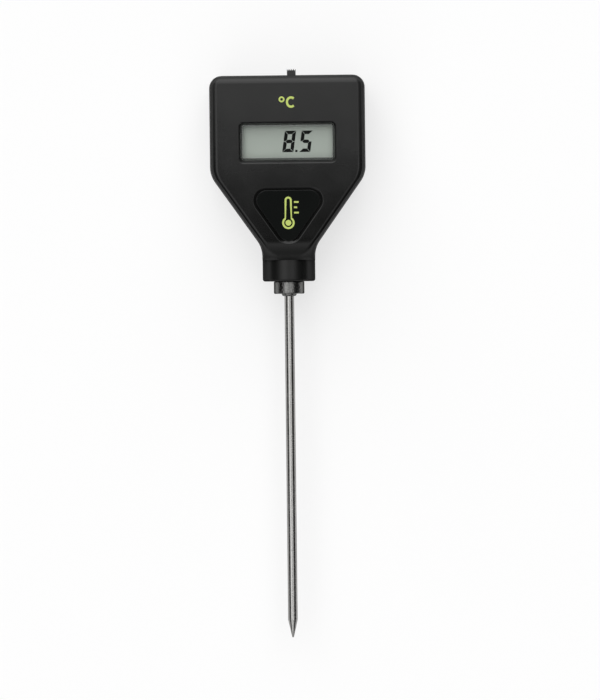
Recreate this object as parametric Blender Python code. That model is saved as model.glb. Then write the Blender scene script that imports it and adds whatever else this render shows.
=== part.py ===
"""Pocket digital soil thermometer with a fixed stainless probe, lying on its back.

The origin is on the back face, under the middle of the display. +X is to the right of the display,
+Y runs along the probe axis away from the tip, and +Z points out of the display. Sizes are in millimetres.
"""

import math

import bmesh
import bpy
from mathutils import Matrix, Vector

MM = 0.001
SEAT = 0.25  # gap between faces that touch
FIT = 0.25  # gap around a piece that drops into its seat
SLIDE = 0.3  # gap around a piece that moves
LEAST_EDGE = 0.001

# Housing
WALL = 2.0
DISPLAY_TO_TOP = 21.7
SIDE_LENGTH = 32.0  # top edge to the shoulder corner
TAPER = math.radians(35.2)  # lean of the lower sides
CORNER_RADIUS = 4.0
SHOULDER_RADIUS = 8.7
BLEND_RADIUS = 8.7  # hollow curve between taper and neck
EDGE_RADIUS = 1.8
LEAST_RADIUS = 0.3
FRONT_DRAFT = 1.0
REAR_DRAFT = 0.3
PARTING_LAND = 1.5  # upright part of the top edge, each side of the parting line
SEAM = 0.25
NECK_DIAMETER = 16.9
NECK_WALL = 1.65
NECK_LENGTH = 6.8
NECK_RUN = 4.0  # end of the taper to the ledge above the neck
NECK_FILLET = 0.8
LEDGE_STEP = 0.05
NOSE_LENGTH = 10.0  # stretch over which the faces run down to the neck
NOSE_RADIUS = 6.4
TONGUE_HEIGHT = 1.2
TONGUE_INSET = 1.1
TONGUE_THICKNESS = 1.0

# Battery
BATTERY_DIAMETER = 10.5
BATTERY_LENGTH = 43.7
BATTERY_Y = 4.0
NUB_DIAMETER = 3.8
NUB_HEIGHT = 1.0
CELL_GAP = 0.3
CONTACT_THICKNESS = 0.3
CONTACT_WIDTH = 7.0
CONTACT_REACH = 2.2  # below the battery axis
TAB_WIDTH = 1.0
SPRING_RISE = 0.7
SIDE_GAP = 0.4
RIB_THICKNESS = 1.5
RIB_SPACING = 24.0

# Display
BOARD_THICKNESS = 1.6
CONNECTOR_HEIGHT = 3.6
CONNECTOR_WIDTH = 1.8
GLASS_THICKNESS = 1.1
GLASS_WIDTH = 33.4
REAR_GLASS_HEIGHT = 17.0
FRONT_GLASS_HEIGHT = 13.6
LENS_AIR = 0.3
LENS_FLANGE = 1.2
LENS_MARGIN = 2.2
LENS_CHAMFER = 0.3
OPENING_WIDTH = 28.4
OPENING_HEIGHT = 11.6
OPENING_RAISE = 0.3  # opening above the middle of its recess
RECESS_WIDTH = 31.3
RECESS_HEIGHT = 13.4
RECESS_DEPTH = 1.2
RECESS_RADIUS = 1.2
FRAME_WALL = 1.5
FRAME_LIP = 0.9

# Triangular inlay
INLAY_DROP = 3.9  # shoulder corner to the top of the recess
INLAY_TIP = 22.4  # shoulder corner to the rounded tip of the recess
INLAY_RADIUS = 4.4
INLAY_SLOPE = 1.0
INLAY_DEPTH = 0.8
INLAY_THICKNESS = 0.35

# Screws and their bosses
COVER_SCREW_DIAMETER = 2.4
COVER_SCREW_LENGTH = 12.0
COVER_HEAD_DIAMETER = 4.6
COVER_HEAD_HEIGHT = 1.8
COVER_HEAD_SEAT = 5.0  # above the back face
COVER_SCREW_INSET = 5.1  # from the side of the housing
COVER_SCREW_DROP = 5.2  # below the top edge
LOWER_SCREW_INSET = 6.55  # from the leaning side, level with the screw
LOWER_SCREW_DROP = 10.7  # below the shoulder corner
BOSS_WALL = 1.2
BOARD_SCREW_DIAMETER = 1.7
BOARD_SCREW_LENGTH = 5.5
BOARD_HEAD_DIAMETER = 3.4
BOARD_HEAD_HEIGHT = 1.3
BOARD_SCREW_SPACE = 2.55  # between the head of a board screw and the boss beside it
BOARD_SCREW_DROP = 7.5  # below the top edge
LOW_SCREW_DROP = 11.4  # below the shoulder corner
BOARD_INSET = 2.8
BOARD_END = 4.5  # lower edge of the board above the end of the taper

# Switch
KNOB_WIDTH = 2.8
KNOB_DEPTH = 3.2
KNOB_HEIGHT = 1.9  # above the top edge
KNOB_RIDGES = 5
RIDGE_DEPTH = 0.32
KNOB_TRAVEL = 2.9
SWITCH_LENGTH = 10.0
SWITCH_DEPTH = 4.2
SWITCH_HEIGHT = 4.4
SWITCH_SHEET = 0.4
STEM_WIDTH = 2.4
STEM_DEPTH = 2.2
SLIDER_LENGTH = 4.2
BASE_THICKNESS = 1.2
PIN_PITCH = 2.5
PIN_WIDTH = 0.5
PIN_DROP = 1.6

# Probe, measured down from the end of the neck
PROBE_LENGTH = 114.4
PROBE_DIAMETER = 3.05
TUBE_WALL = 0.35
TIP_LENGTH = 5.8
TIP_BLUNT = 0.3
SPIGOT_LENGTH = 2.0
COLLAR_DIAMETER = 9.8
COLLAR_LENGTH = 4.0
COLLAR_FILLET = 0.4
COLLAR_DOME_DIAMETER = 4.8
COLLAR_DOME_HEIGHT = 0.75
SHANK_DIAMETER = 8.0
NUT_FLATS = 11.0
NUT_HEIGHT = 3.0
WASHER_DIAMETER = 11.4
WASHER_THICKNESS = 0.5
SHANK_STAND = 0.6  # shank beyond the nut
TUBE_STAND = 1.0  # tube beyond the shank
BEAD_LENGTH = 2.2
LEAD_DIAMETER = 0.45
LEAD_SPACING = 0.7
PAD_SPACING = 4.0
SLEEVE_WALL = 0.15
SLEEVE_LENGTH = 5.0

# Places worked out from the sizes above
INNER_WIDTH = BATTERY_LENGTH + CONTACT_THICKNESS + SPRING_RISE + 2 * (SEAT + SIDE_GAP)
HALF_WIDTH = INNER_WIDTH / 2 + WALL
BATTERY_Z = WALL + CELL_GAP + BATTERY_DIAMETER / 2
BATTERY_START = -INNER_WIDTH / 2 + SIDE_GAP + SPRING_RISE + SEAT
BOARD_REAR = BATTERY_Z + BATTERY_DIAMETER / 2 + CELL_GAP
BOARD_FRONT = BOARD_REAR + BOARD_THICKNESS
REAR_GLASS_Z = BOARD_FRONT + CONNECTOR_HEIGHT + 2 * SEAT
FRONT_GLASS_Z = REAR_GLASS_Z + GLASS_THICKNESS + SEAT
LENS_Z = FRONT_GLASS_Z + GLASS_THICKNESS + LENS_AIR
FRONT_INNER = LENS_Z + LENS_FLANGE + SEAT
HOUSING_DEPTH = FRONT_INNER + WALL
PARTING = HOUSING_DEPTH / 2
TOP = DISPLAY_TO_TOP
LEDGE = NECK_DIAMETER / 2 + LEDGE_STEP
SHOULDER_Y = TOP - SIDE_LENGTH
TAPER_END = SHOULDER_Y - (HALF_WIDTH - LEDGE) / math.tan(TAPER)
NECK_TOP = TAPER_END - NECK_RUN
NECK_END = NECK_TOP - NECK_LENGTH
NOSE_Y = NECK_TOP + NOSE_LENGTH
CORNER_Y = TOP - CORNER_RADIUS
SHOULDER_ARC_Y = SHOULDER_Y + SHOULDER_RADIUS * math.tan(TAPER / 2)
BLEND_ARC_Y = TAPER_END - BLEND_RADIUS * math.tan(TAPER / 2)
BOARD_LOW = TAPER_END + BOARD_END
CHAMBER_RADIUS = NECK_DIAMETER / 2 - NECK_WALL
SWITCH_TOP = TOP - WALL - FRONT_DRAFT
SWITCH_Z = BOARD_FRONT + FIT + SWITCH_DEPTH / 2
BOSS_RADIUS = COVER_SCREW_DIAMETER / 2 + FIT + BOSS_WALL
COVER_X = HALF_WIDTH - COVER_SCREW_INSET
LOWER_X = HALF_WIDTH - LOWER_SCREW_DROP * math.tan(TAPER) - LOWER_SCREW_INSET
COVER_POINTS = [(side * COVER_X, TOP - COVER_SCREW_DROP) for side in (-1, 1)]
COVER_POINTS += [(side * LOWER_X, SHOULDER_Y - LOWER_SCREW_DROP) for side in (-1, 1)]
BOARD_X = COVER_X - BOSS_RADIUS - BOARD_SCREW_SPACE - BOARD_HEAD_DIAMETER / 2
BOARD_POINTS = [(side * BOARD_X, TOP - BOARD_SCREW_DROP) for side in (-1, 1)]
BOARD_POINTS.append((0.0, SHOULDER_Y - LOW_SCREW_DROP))


def arc(start, stop, steps):
    return [start + (stop - start) * i / steps for i in range(steps + 1)]


def new_object(name, bm, location=(0, 0, 0), rotation=(0, 0, 0)):
    """Turns a closed shape drawn in millimetres into an object in metres."""
    bmesh.ops.recalc_face_normals(bm, faces=bm.faces)
    bmesh.ops.triangulate(bm, faces=bm.faces)
    bmesh.ops.scale(bm, vec=(MM, MM, MM), verts=bm.verts)
    mesh = bpy.data.meshes.new(name)
    bm.to_mesh(mesh)
    bm.free()
    obj = bpy.data.objects.new(name, mesh)
    obj.location = Vector(location) * MM
    obj.rotation_euler = rotation
    bpy.context.scene.collection.objects.link(obj)
    return obj


def loft(name, rings, **placing):
    """Skins closed rings of equal length and caps the two ends."""
    bm = bmesh.new()
    loops = [[bm.verts.new(point) for point in ring] for ring in rings]
    count = len(loops[0])
    for lower, upper in zip(loops, loops[1:]):
        for i in range(count):
            j = (i + 1) % count
            bm.faces.new((lower[i], lower[j], upper[j], upper[i]))
    bm.faces.new(loops[0])
    bm.faces.new(loops[-1])
    return new_object(name, bm, **placing)


def prism(name, outline, low, high, **placing):
    """Extrudes an outline in X and Y between two heights."""
    return loft(name, [[(x, y, z) for x, y in outline] for z in (low, high)], **placing)


def side_prism(name, outline, low, high, **placing):
    """Extrudes an outline in Y and Z between two places along X."""
    return loft(name, [[(x, y, z) for y, z in outline] for x in (low, high)], **placing)


def box(name, size, centre):
    """A rectangular block round its own centre."""
    bm = bmesh.new()
    bmesh.ops.create_cube(bm, size=1.0, matrix=Matrix.Diagonal((*size, 1.0)))
    return new_object(name, bm, location=centre)


def turned(name, profile, segments=24, closed=False, **placing):
    """Spins a (radius, height) profile about its own Z axis; a closed profile leaves a bore."""
    bm = bmesh.new()
    points = [bm.verts.new((radius, 0.0, height)) for radius, height in profile]
    edges = [bm.edges.new(pair) for pair in zip(points, points[1:])]
    if closed:
        edges.append(bm.edges.new((points[-1], points[0])))
    bmesh.ops.spin(bm, geom=points + edges, cent=(0, 0, 0), axis=(0, 0, 1), dvec=(0, 0, 0),
                   angle=math.tau, steps=segments, use_merge=True)
    bmesh.ops.remove_doubles(bm, verts=bm.verts, dist=1e-5)
    return new_object(name, bm, **placing)


def post(name, x, y, low, high, radius, segments=16):
    """A round post along Z."""
    profile = [(0, 0), (radius, 0), (radius, high - low), (0, high - low)]
    return turned(name, profile, segments, location=(x, y, low))


def put_in_order(mesh):
    """Numbers the points and faces by their places, so that every build comes out the same."""
    order = sorted(range(len(mesh.vertices)), key=lambda i: mesh.vertices[i].co[:])
    points = [mesh.vertices[i].co[:] for i in order]
    rank = {old: new for new, old in enumerate(order)}
    faces = []
    for polygon in mesh.polygons:
        corners = [rank[i] for i in polygon.vertices]
        first = corners.index(min(corners))
        faces.append(corners[first:] + corners[:first])
    mesh.clear_geometry()
    mesh.from_pydata(points, [], sorted(faces))


def merge_flat_faces(mesh):
    """Joins the slivers and split flats that a cut leaves behind."""
    bm = bmesh.new()
    bm.from_mesh(mesh)
    bmesh.ops.remove_doubles(bm, verts=bm.verts, dist=LEAST_EDGE * MM)
    bmesh.ops.dissolve_degenerate(bm, edges=bm.edges, dist=LEAST_EDGE * MM)
    bmesh.ops.dissolve_limit(bm, angle_limit=math.radians(0.1), verts=bm.verts, edges=bm.edges)
    bmesh.ops.triangulate(bm, faces=bm.faces)
    bm.to_mesh(mesh)
    bm.free()


def combine(body, tools, operation):
    """Applies one Boolean of all the tools to the body and removes the tools."""
    group = bpy.data.collections.new(body.name)
    for tool in tools:
        group.objects.link(tool)
    modifier = body.modifiers.new(operation, 'BOOLEAN')
    modifier.operation = operation
    modifier.operand_type = 'COLLECTION'
    modifier.collection = group
    modifier.solver = 'EXACT'
    bpy.context.view_layer.update()
    graph = bpy.context.evaluated_depsgraph_get()
    mesh = bpy.data.meshes.new_from_object(body.evaluated_get(graph))
    body.modifiers.clear()
    body.data = mesh
    put_in_order(mesh)
    merge_flat_faces(mesh)
    for tool in tools:
        bpy.data.objects.remove(tool)
    bpy.data.collections.remove(group)


def cut(body, *tools):
    combine(body, tools, 'DIFFERENCE')


def join(body, *tools):
    combine(body, tools, 'UNION')


def copy_of(obj, name):
    twin = obj.copy()
    twin.data = obj.data.copy()
    twin.name = name
    bpy.context.scene.collection.objects.link(twin)
    return twin


def rounded_rectangle(width, height, radius, centre_y=0.0, steps=4):
    points = []
    for quarter, (sx, sy) in enumerate(((1, 1), (-1, 1), (-1, -1), (1, -1))):
        for angle in arc(quarter * math.pi / 2, (quarter + 1) * math.pi / 2, steps):
            x = sx * (width / 2 - radius) + radius * math.cos(angle)
            y = centre_y + sy * (height / 2 - radius) + radius * math.sin(angle)
            points.append((x, y))
    return points


def rounded_triangle(inset, steps=6):
    """Outline of the inlay recess, drawn in from its edge by the inset."""
    top = SHOULDER_Y - INLAY_DROP
    tip = SHOULDER_Y - INLAY_TIP
    low_y = tip + INLAY_RADIUS
    apex = low_y - INLAY_RADIUS / math.sin(TAPER)
    high_y = top - INLAY_RADIUS
    high_x = (high_y - apex) * math.tan(TAPER) - INLAY_RADIUS / math.cos(TAPER)
    turns = (
        (high_x, high_y, -TAPER, math.pi / 2),
        (-high_x, high_y, math.pi / 2, math.pi + TAPER),
        (0.0, low_y, math.pi + TAPER, math.tau - TAPER),
    )
    radius = INLAY_RADIUS - inset
    return [(x + radius * math.cos(a), y + radius * math.sin(a))
            for x, y, start, stop in turns for a in arc(start, stop, steps)]


def half_width(y, inset):
    """Half the width of the shield outline at a height, drawn in by the inset."""
    if y > CORNER_Y:
        radius = CORNER_RADIUS - inset
        return HALF_WIDTH - CORNER_RADIUS + math.sqrt(max(radius ** 2 - (y - CORNER_Y) ** 2, 0.0))
    if y > SHOULDER_ARC_Y:
        return HALF_WIDTH - inset
    radius = SHOULDER_RADIUS - inset
    if y > SHOULDER_ARC_Y - radius * math.sin(TAPER):
        return HALF_WIDTH - SHOULDER_RADIUS + math.sqrt(radius ** 2 - (y - SHOULDER_ARC_Y) ** 2)
    radius = BLEND_RADIUS + inset
    if y > BLEND_ARC_Y + radius * math.sin(TAPER):
        return HALF_WIDTH + (y - SHOULDER_Y) * math.tan(TAPER) - inset / math.cos(TAPER)
    if y > BLEND_ARC_Y:
        return LEDGE + BLEND_RADIUS - math.sqrt(radius ** 2 - (y - BLEND_ARC_Y) ** 2)
    return LEDGE - inset


def half_depth(y, inset):
    """Half the depth and the edge radius of the housing's section at a height."""
    nose = min(max((NOSE_Y - y) / NOSE_LENGTH, 0.0), 1.0) ** 2
    radius = max(EDGE_RADIUS + (NOSE_RADIUS - EDGE_RADIUS) * nose - inset, LEAST_RADIUS)
    depth = PARTING - inset - (PARTING - LEDGE) * nose
    below_top = TOP - inset - y
    if below_top < FRONT_DRAFT:
        depth = PARTING_LAND + (depth - radius - PARTING_LAND) * below_top / FRONT_DRAFT
    elif below_top < FRONT_DRAFT + radius:
        depth += math.sqrt(max(radius ** 2 - (FRONT_DRAFT + radius - below_top) ** 2, 0.0)) - radius
    return depth, min(radius, depth * 0.6)


def section(y, inset, steps):
    """Closed section of the housing across its length, with drafted sides and round edges."""
    width = half_width(y, inset)
    depth, radius = half_depth(y, inset)
    corners = {}
    for face, draft in ((1, FRONT_DRAFT), (-1, REAR_DRAFT)):
        lean = draft * (depth - radius) / PARTING
        corners[face] = [(width - lean - radius + radius * math.cos(a), depth - radius + radius * math.sin(a))
                         for a in arc(0, math.pi / 2, steps)]
    ring = [(width, 0.0)]
    ring += corners[1]
    ring += [(-x, z) for x, z in reversed(corners[1])]
    ring += [(-width, 0.0)]
    ring += [(-x, -z) for x, z in corners[-1]]
    ring += [(x, -z) for x, z in reversed(corners[-1])]
    return [(x, y, PARTING + z) for x, z in ring]


def stations(inset, low, steps):
    """Heights at which the housing is sectioned, from the top edge down."""
    top = TOP - inset
    edge = max(EDGE_RADIUS - inset, LEAST_RADIUS)
    heights = [CORNER_Y + (CORNER_RADIUS - inset) * math.cos(a) for a in arc(0, math.pi / 2, steps)]
    heights += [top - FRONT_DRAFT - edge * (1 - math.cos(a)) for a in arc(0, math.pi / 2, steps)]
    heights += [SHOULDER_ARC_Y - (SHOULDER_RADIUS - inset) * math.sin(a) for a in arc(0, TAPER, steps)]
    heights += arc(NOSE_Y, low, 2 * steps)
    kept = []
    for y in sorted(heights, reverse=True):
        if not kept or kept[-1] - y > 0.12:
            kept.append(y)
    kept[-1] = low
    return kept


def plan_path(inset, low, steps=5):
    """The shield outline from the lower right, over the top, to the lower left."""
    right = [(half_width(low, inset), low)]
    for a in arc(-TAPER, 0, steps):
        radius = SHOULDER_RADIUS - inset
        x = HALF_WIDTH - SHOULDER_RADIUS + radius * math.cos(a)
        right.append((x, SHOULDER_ARC_Y + radius * math.sin(a)))
    for a in arc(0, math.pi / 2, steps):
        radius = CORNER_RADIUS - inset
        right.append((HALF_WIDTH - CORNER_RADIUS + radius * math.cos(a), CORNER_Y + radius * math.sin(a)))
    return right + [(-x, y) for x, y in reversed(right)]


def rim_strip(name, outer, inner, low_y, low, high):
    """A strip that follows the shield outline between two insets and two heights."""
    rings = []
    for (xo, yo), (xi, yi) in zip(plan_path(outer, low_y), plan_path(inner, low_y)):
        rings.append([(xo, yo, low), (xi, yi, low), (xi, yi, high), (xo, yo, high)])
    return loft(name, rings)


def stack(name, levels):
    """Skins outlines in X and Y, each at its own height."""
    return loft(name, [[(x, y, z) for x, y in outline] for outline, z in levels])


def along_probe(name, profile, segments=32, closed=False):
    """A piece turned about the probe axis, its heights measured down from the end of the neck."""
    end = (0, NECK_END, PARTING)
    return turned(name, profile, segments, closed, location=end, rotation=(math.pi / 2, 0, 0))


def housing_form():
    """The outside of both halves in one: the shield body and its round neck."""
    form = loft('form', [section(y, 0.0, 6) for y in stations(0.0, NECK_TOP, 6)])
    radius = NECK_DIAMETER / 2
    root = -NECK_LENGTH - NECK_RUN / 2
    neck = [(0, root), (radius, root)]
    neck += [(radius - NECK_FILLET * (1 - math.cos(a)), NECK_FILLET * (math.sin(a) - 1))
             for a in arc(0, math.pi / 2, 4)]
    neck.append((0, 0))
    join(form, along_probe('neck', neck, 48))
    return form


def housing_half(form, name, side):
    """The front (+1) or rear (-1) half, hollowed, bored for the probe and cut at the parting plane."""
    half = copy_of(form, name)
    cavity = loft('cavity', [section(y, WALL, 2) for y in stations(WALL, TAPER_END, 3)])
    shank = SHANK_DIAMETER / 2 + SLIDE
    chamber = -NECK_LENGTH - NECK_RUN - 1.0
    bore = [(0, chamber), (CHAMBER_RADIUS, chamber), (CHAMBER_RADIUS, -WALL)]
    bore += [(shank, -WALL), (shank, 1), (0, 1)]
    size = 4 * (HALF_WIDTH + HOUSING_DEPTH + SIDE_LENGTH)
    other = box('other_half', (size, size, size), (0, 0, PARTING - side * (size - SEAM) / 2))
    cut(half, cavity, along_probe('bore', bore, 48), other)
    return half


def front_shell(form):
    """The front half, with screw bosses, board standoffs, window, inlay recess and switch slot."""
    shell = housing_half(form, 'front_shell', 1)
    pilot = COVER_SCREW_DIAMETER / 2 + FIT
    board_pilot = BOARD_SCREW_DIAMETER / 2 + FIT
    in_wall = FRONT_INNER + WALL / 3
    posts = [post('boss', x, y, PARTING + SEAM, in_wall, BOSS_RADIUS) for x, y in COVER_POINTS]
    for x, y in BOARD_POINTS:
        posts.append(post('standoff', x, y, BOARD_FRONT + SEAT, in_wall, board_pilot + BOSS_WALL))
    join(shell, *posts)
    depth = COVER_HEAD_SEAT + COVER_SCREW_LENGTH + 1.0
    cutters = [post('pilot', x, y, PARTING - 1.0, depth, pilot) for x, y in COVER_POINTS]
    depth = BOARD_REAR + BOARD_SCREW_LENGTH + 1.0
    cutters += [post('pilot', x, y, BOARD_FRONT - 1.0, depth, board_pilot) for x, y in BOARD_POINTS]
    opening = rounded_rectangle(OPENING_WIDTH, OPENING_HEIGHT, RECESS_RADIUS / 2, OPENING_RAISE)
    rim = rounded_rectangle(RECESS_WIDTH, RECESS_HEIGHT, RECESS_RADIUS)
    floor = HOUSING_DEPTH - RECESS_DEPTH
    levels = [(opening, FRONT_INNER - 1.0), (opening, floor)]
    levels += [(rim, HOUSING_DEPTH), (rim, HOUSING_DEPTH + 1.0)]
    cutters.append(stack('window', levels))
    rim = rounded_triangle(0.0)
    levels = ((rounded_triangle(INLAY_SLOPE), HOUSING_DEPTH - INLAY_DEPTH), (rim, HOUSING_DEPTH))
    cutters.append(stack('inlay_recess', (*levels, (rim, HOUSING_DEPTH + 1.0))))
    groove_end = TONGUE_INSET + TONGUE_THICKNESS + SLIDE
    groove_top = PARTING + TONGUE_HEIGHT + SLIDE
    rebate = (TONGUE_INSET - FIT, groove_end, NOSE_Y - SLIDE, PARTING - 1.0, groove_top)
    cutters.append(rim_strip('rebate', *rebate))
    height = WALL + FRONT_DRAFT + 2.0
    slot = (KNOB_WIDTH + KNOB_TRAVEL + 2 * SLIDE, height, KNOB_DEPTH + 2 * SLIDE)
    cutters.append(box('slot', slot, (0, TOP - FRONT_DRAFT - height / 2 + 1.5, SWITCH_Z)))
    cut(shell, *cutters)
    return shell


def rear_cover(form):
    """The rear half, with its tongue, counterbored screw bosses and two saddles for the cell."""
    cover = housing_half(form, 'rear_cover', -1)
    tongue_end = TONGUE_INSET + TONGUE_THICKNESS
    tongue = rim_strip('tongue', TONGUE_INSET, tongue_end, NOSE_Y, PARTING - 1.5, PARTING + TONGUE_HEIGHT)
    head = COVER_HEAD_DIAMETER / 2 + FIT
    bosses = [post('boss', x, y, WALL / 2, PARTING - SEAM, head + BOSS_WALL) for x, y in COVER_POINTS]
    saddle = BATTERY_DIAMETER / 2 + FIT
    size = (RIB_THICKNESS, BATTERY_DIAMETER + 2.5, BATTERY_Z - BATTERY_DIAMETER / 8 - WALL / 2)
    profile = [(0, -RIB_THICKNESS), (saddle, -RIB_THICKNESS), (saddle, RIB_THICKNESS), (0, RIB_THICKNESS)]
    ribs = []
    for x in (-RIB_SPACING / 2, RIB_SPACING / 2):
        rib = box('rib', size, (x, BATTERY_Y, WALL / 2 + size[2] / 2))
        place = (x, BATTERY_Y, BATTERY_Z)
        cut(rib, turned('saddle', profile, 32, location=place, rotation=(0, math.pi / 2, 0)))
        ribs.append(rib)
    join(cover, tongue, *bosses, *ribs)
    clearance = COVER_SCREW_DIAMETER / 2 + SLIDE
    cutters = [post('counterbore', x, y, -1.0, COVER_HEAD_SEAT, head) for x, y in COVER_POINTS]
    low = COVER_HEAD_SEAT - 1.0
    cutters += [post('clearance', x, y, low, PARTING + 1.0, clearance) for x, y in COVER_POINTS]
    cut(cover, *cutters)
    return cover


def build_housing():
    form = housing_form()
    made = [front_shell(form), rear_cover(form)]
    bpy.data.objects.remove(form)
    return made


def screw(name, x, y, z, diameter, length, head_diameter, head_height):
    """A pan-head screw along +Z whose head seats at height z."""
    head = head_diameter / 2
    shank = diameter / 2
    profile = [(0, -head_height), (head * 0.75, -head_height), (head, -head_height * 0.6)]
    profile += [(head, 0), (shank, 0)]
    profile += [(shank, length - diameter), (0, length)]
    return turned(name, profile, 20, location=(x, y, z - SEAT))


def build_screws():
    made = []
    for i, (x, y) in enumerate(COVER_POINTS, 1):
        made.append(screw(f'cover_screw_{i}', x, y, COVER_HEAD_SEAT, COVER_SCREW_DIAMETER, COVER_SCREW_LENGTH,
                          COVER_HEAD_DIAMETER, COVER_HEAD_HEIGHT))
    for i, (x, y) in enumerate(BOARD_POINTS, 1):
        made.append(screw(f'board_screw_{i}', x, y, BOARD_REAR, BOARD_SCREW_DIAMETER, BOARD_SCREW_LENGTH,
                          BOARD_HEAD_DIAMETER, BOARD_HEAD_HEIGHT))
    return made


def display_window():
    """A clear lens: a flange behind the front wall and a chamfered pane in the opening."""
    flange_width = OPENING_WIDTH + 2 * LENS_MARGIN
    flange_height = OPENING_HEIGHT + 2 * LENS_MARGIN
    flange = rounded_rectangle(flange_width, flange_height, RECESS_RADIUS, OPENING_RAISE)
    lens = prism('display_window', flange, LENS_Z, LENS_Z + LENS_FLANGE)
    radius = RECESS_RADIUS / 2
    width = OPENING_WIDTH - 2 * FIT
    height = OPENING_HEIGHT - 2 * FIT
    top = HOUSING_DEPTH - RECESS_DEPTH - SEAT
    pane = rounded_rectangle(width, height, radius, OPENING_RAISE)
    crown = rounded_rectangle(width - 2 * LENS_CHAMFER, height - 2 * LENS_CHAMFER, radius, OPENING_RAISE)
    levels = ((pane, LENS_Z + LENS_FLANGE / 2), (pane, top - LENS_CHAMFER), (crown, top))
    join(lens, stack('pane', levels))
    return lens


def display_frame():
    """A frame on the board that holds the glass down by its ledges over the connector strips."""
    width = GLASS_WIDTH + 2 * FIT
    height = REAR_GLASS_HEIGHT + 2 * FIT
    outer = rounded_rectangle(width + 2 * FRAME_WALL, height + 2 * FRAME_WALL, 1.0, OPENING_RAISE)
    lip_z = REAR_GLASS_Z + GLASS_THICKNESS + FIT
    frame = prism('lcd_frame', outer, BOARD_FRONT + SEAT, lip_z + FRAME_LIP)
    centre_z = (BOARD_FRONT + lip_z) / 2
    pocket = box('pocket', (width, height, lip_z - BOARD_FRONT), (0, OPENING_RAISE, centre_z))
    gap = FRONT_GLASS_HEIGHT + 4 * FIT
    cut(frame, pocket, box('view', (width, gap, HOUSING_DEPTH), (0, OPENING_RAISE, lip_z)))
    return frame


def build_display():
    made = [display_window(), display_frame()]
    for name, height, z in (('lcd_rear_glass', REAR_GLASS_HEIGHT, REAR_GLASS_Z),
                            ('lcd_front_glass', FRONT_GLASS_HEIGHT, FRONT_GLASS_Z)):
        centre = (0, OPENING_RAISE, z + GLASS_THICKNESS / 2)
        made.append(box(name, (GLASS_WIDTH, height, GLASS_THICKNESS), centre))
    offset = (REAR_GLASS_HEIGHT - CONNECTOR_WIDTH) / 2 - FIT
    for name, side in (('zebra_strip_upper', 1), ('zebra_strip_lower', -1)):
        size = (GLASS_WIDTH - 2 * FIT, CONNECTOR_WIDTH, CONNECTOR_HEIGHT)
        centre = (0, OPENING_RAISE + side * offset, BOARD_FRONT + SEAT + CONNECTOR_HEIGHT / 2)
        made.append(box(name, size, centre))
    floor = HOUSING_DEPTH - INLAY_DEPTH + SEAT
    made.append(prism('front_inlay', rounded_triangle(INLAY_SLOPE + FIT), floor, floor + INLAY_THICKNESS))
    return made


def build_board():
    """The circuit board with its cut-outs, and the parts soldered to it."""
    board = prism('circuit_board', plan_path(BOARD_INSET, BOARD_LOW), BOARD_REAR, BOARD_FRONT)
    clear = BOSS_RADIUS + 2 * SLIDE
    low = BOARD_REAR - 1.0
    high = BOARD_FRONT + 1.0
    cutters = [post('notch', x, y, low, high, clear) for x, y in COVER_POINTS]
    cutters += [post('hole', x, y, low, high, BOARD_SCREW_DIAMETER / 2 + FIT, 16) for x, y in BOARD_POINTS]
    pin_hole = PIN_WIDTH / math.sqrt(2) + FIT
    for i in (-1, 0, 1):
        cutters.append(post('pin_hole', i * PIN_PITCH, pin_bend(), low, high, pin_hole, 12))
    edge = INNER_WIDTH / 2 - SIDE_GAP - SPRING_RISE - 2 * SLIDE
    size = (4.0, CONTACT_WIDTH + 4 * SLIDE, 2 * BOARD_THICKNESS)
    for side in (-1, 1):
        centre = (side * (edge + 2.0), BATTERY_Y, BOARD_FRONT - BOARD_THICKNESS / 2)
        cutters.append(box('contact_notch', size, centre))
    cut(board, *cutters)
    chip_z = BOARD_FRONT + SEAT
    chip = box('processor_chip', (8.0, 8.0, 1.4), (0, OPENING_RAISE, chip_z + 0.7))
    crystal = turned('clock_crystal', [(0, 0), (0.8, 0), (1.0, 0.2), (1.0, 6.0), (0, 6.0)], 16,
                     location=(4.0, SHOULDER_Y - 4.0, chip_z + 1.0), rotation=(0, math.pi / 2, 0))
    can = [(0, 0), (1.9, 0), (2.0, 0.2), (2.0, 3.8), (1.8, 4.0), (0, 4.0)]
    capacitor = turned('buffer_capacitor', can, 20, location=(-7.0, SHOULDER_Y - 4.0, chip_z))
    return [board, chip, crystal, capacitor]


def pin_bend():
    """Where along Y the switch pins turn down into the board."""
    return SWITCH_TOP - FIT - SWITCH_HEIGHT - PIN_DROP


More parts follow.
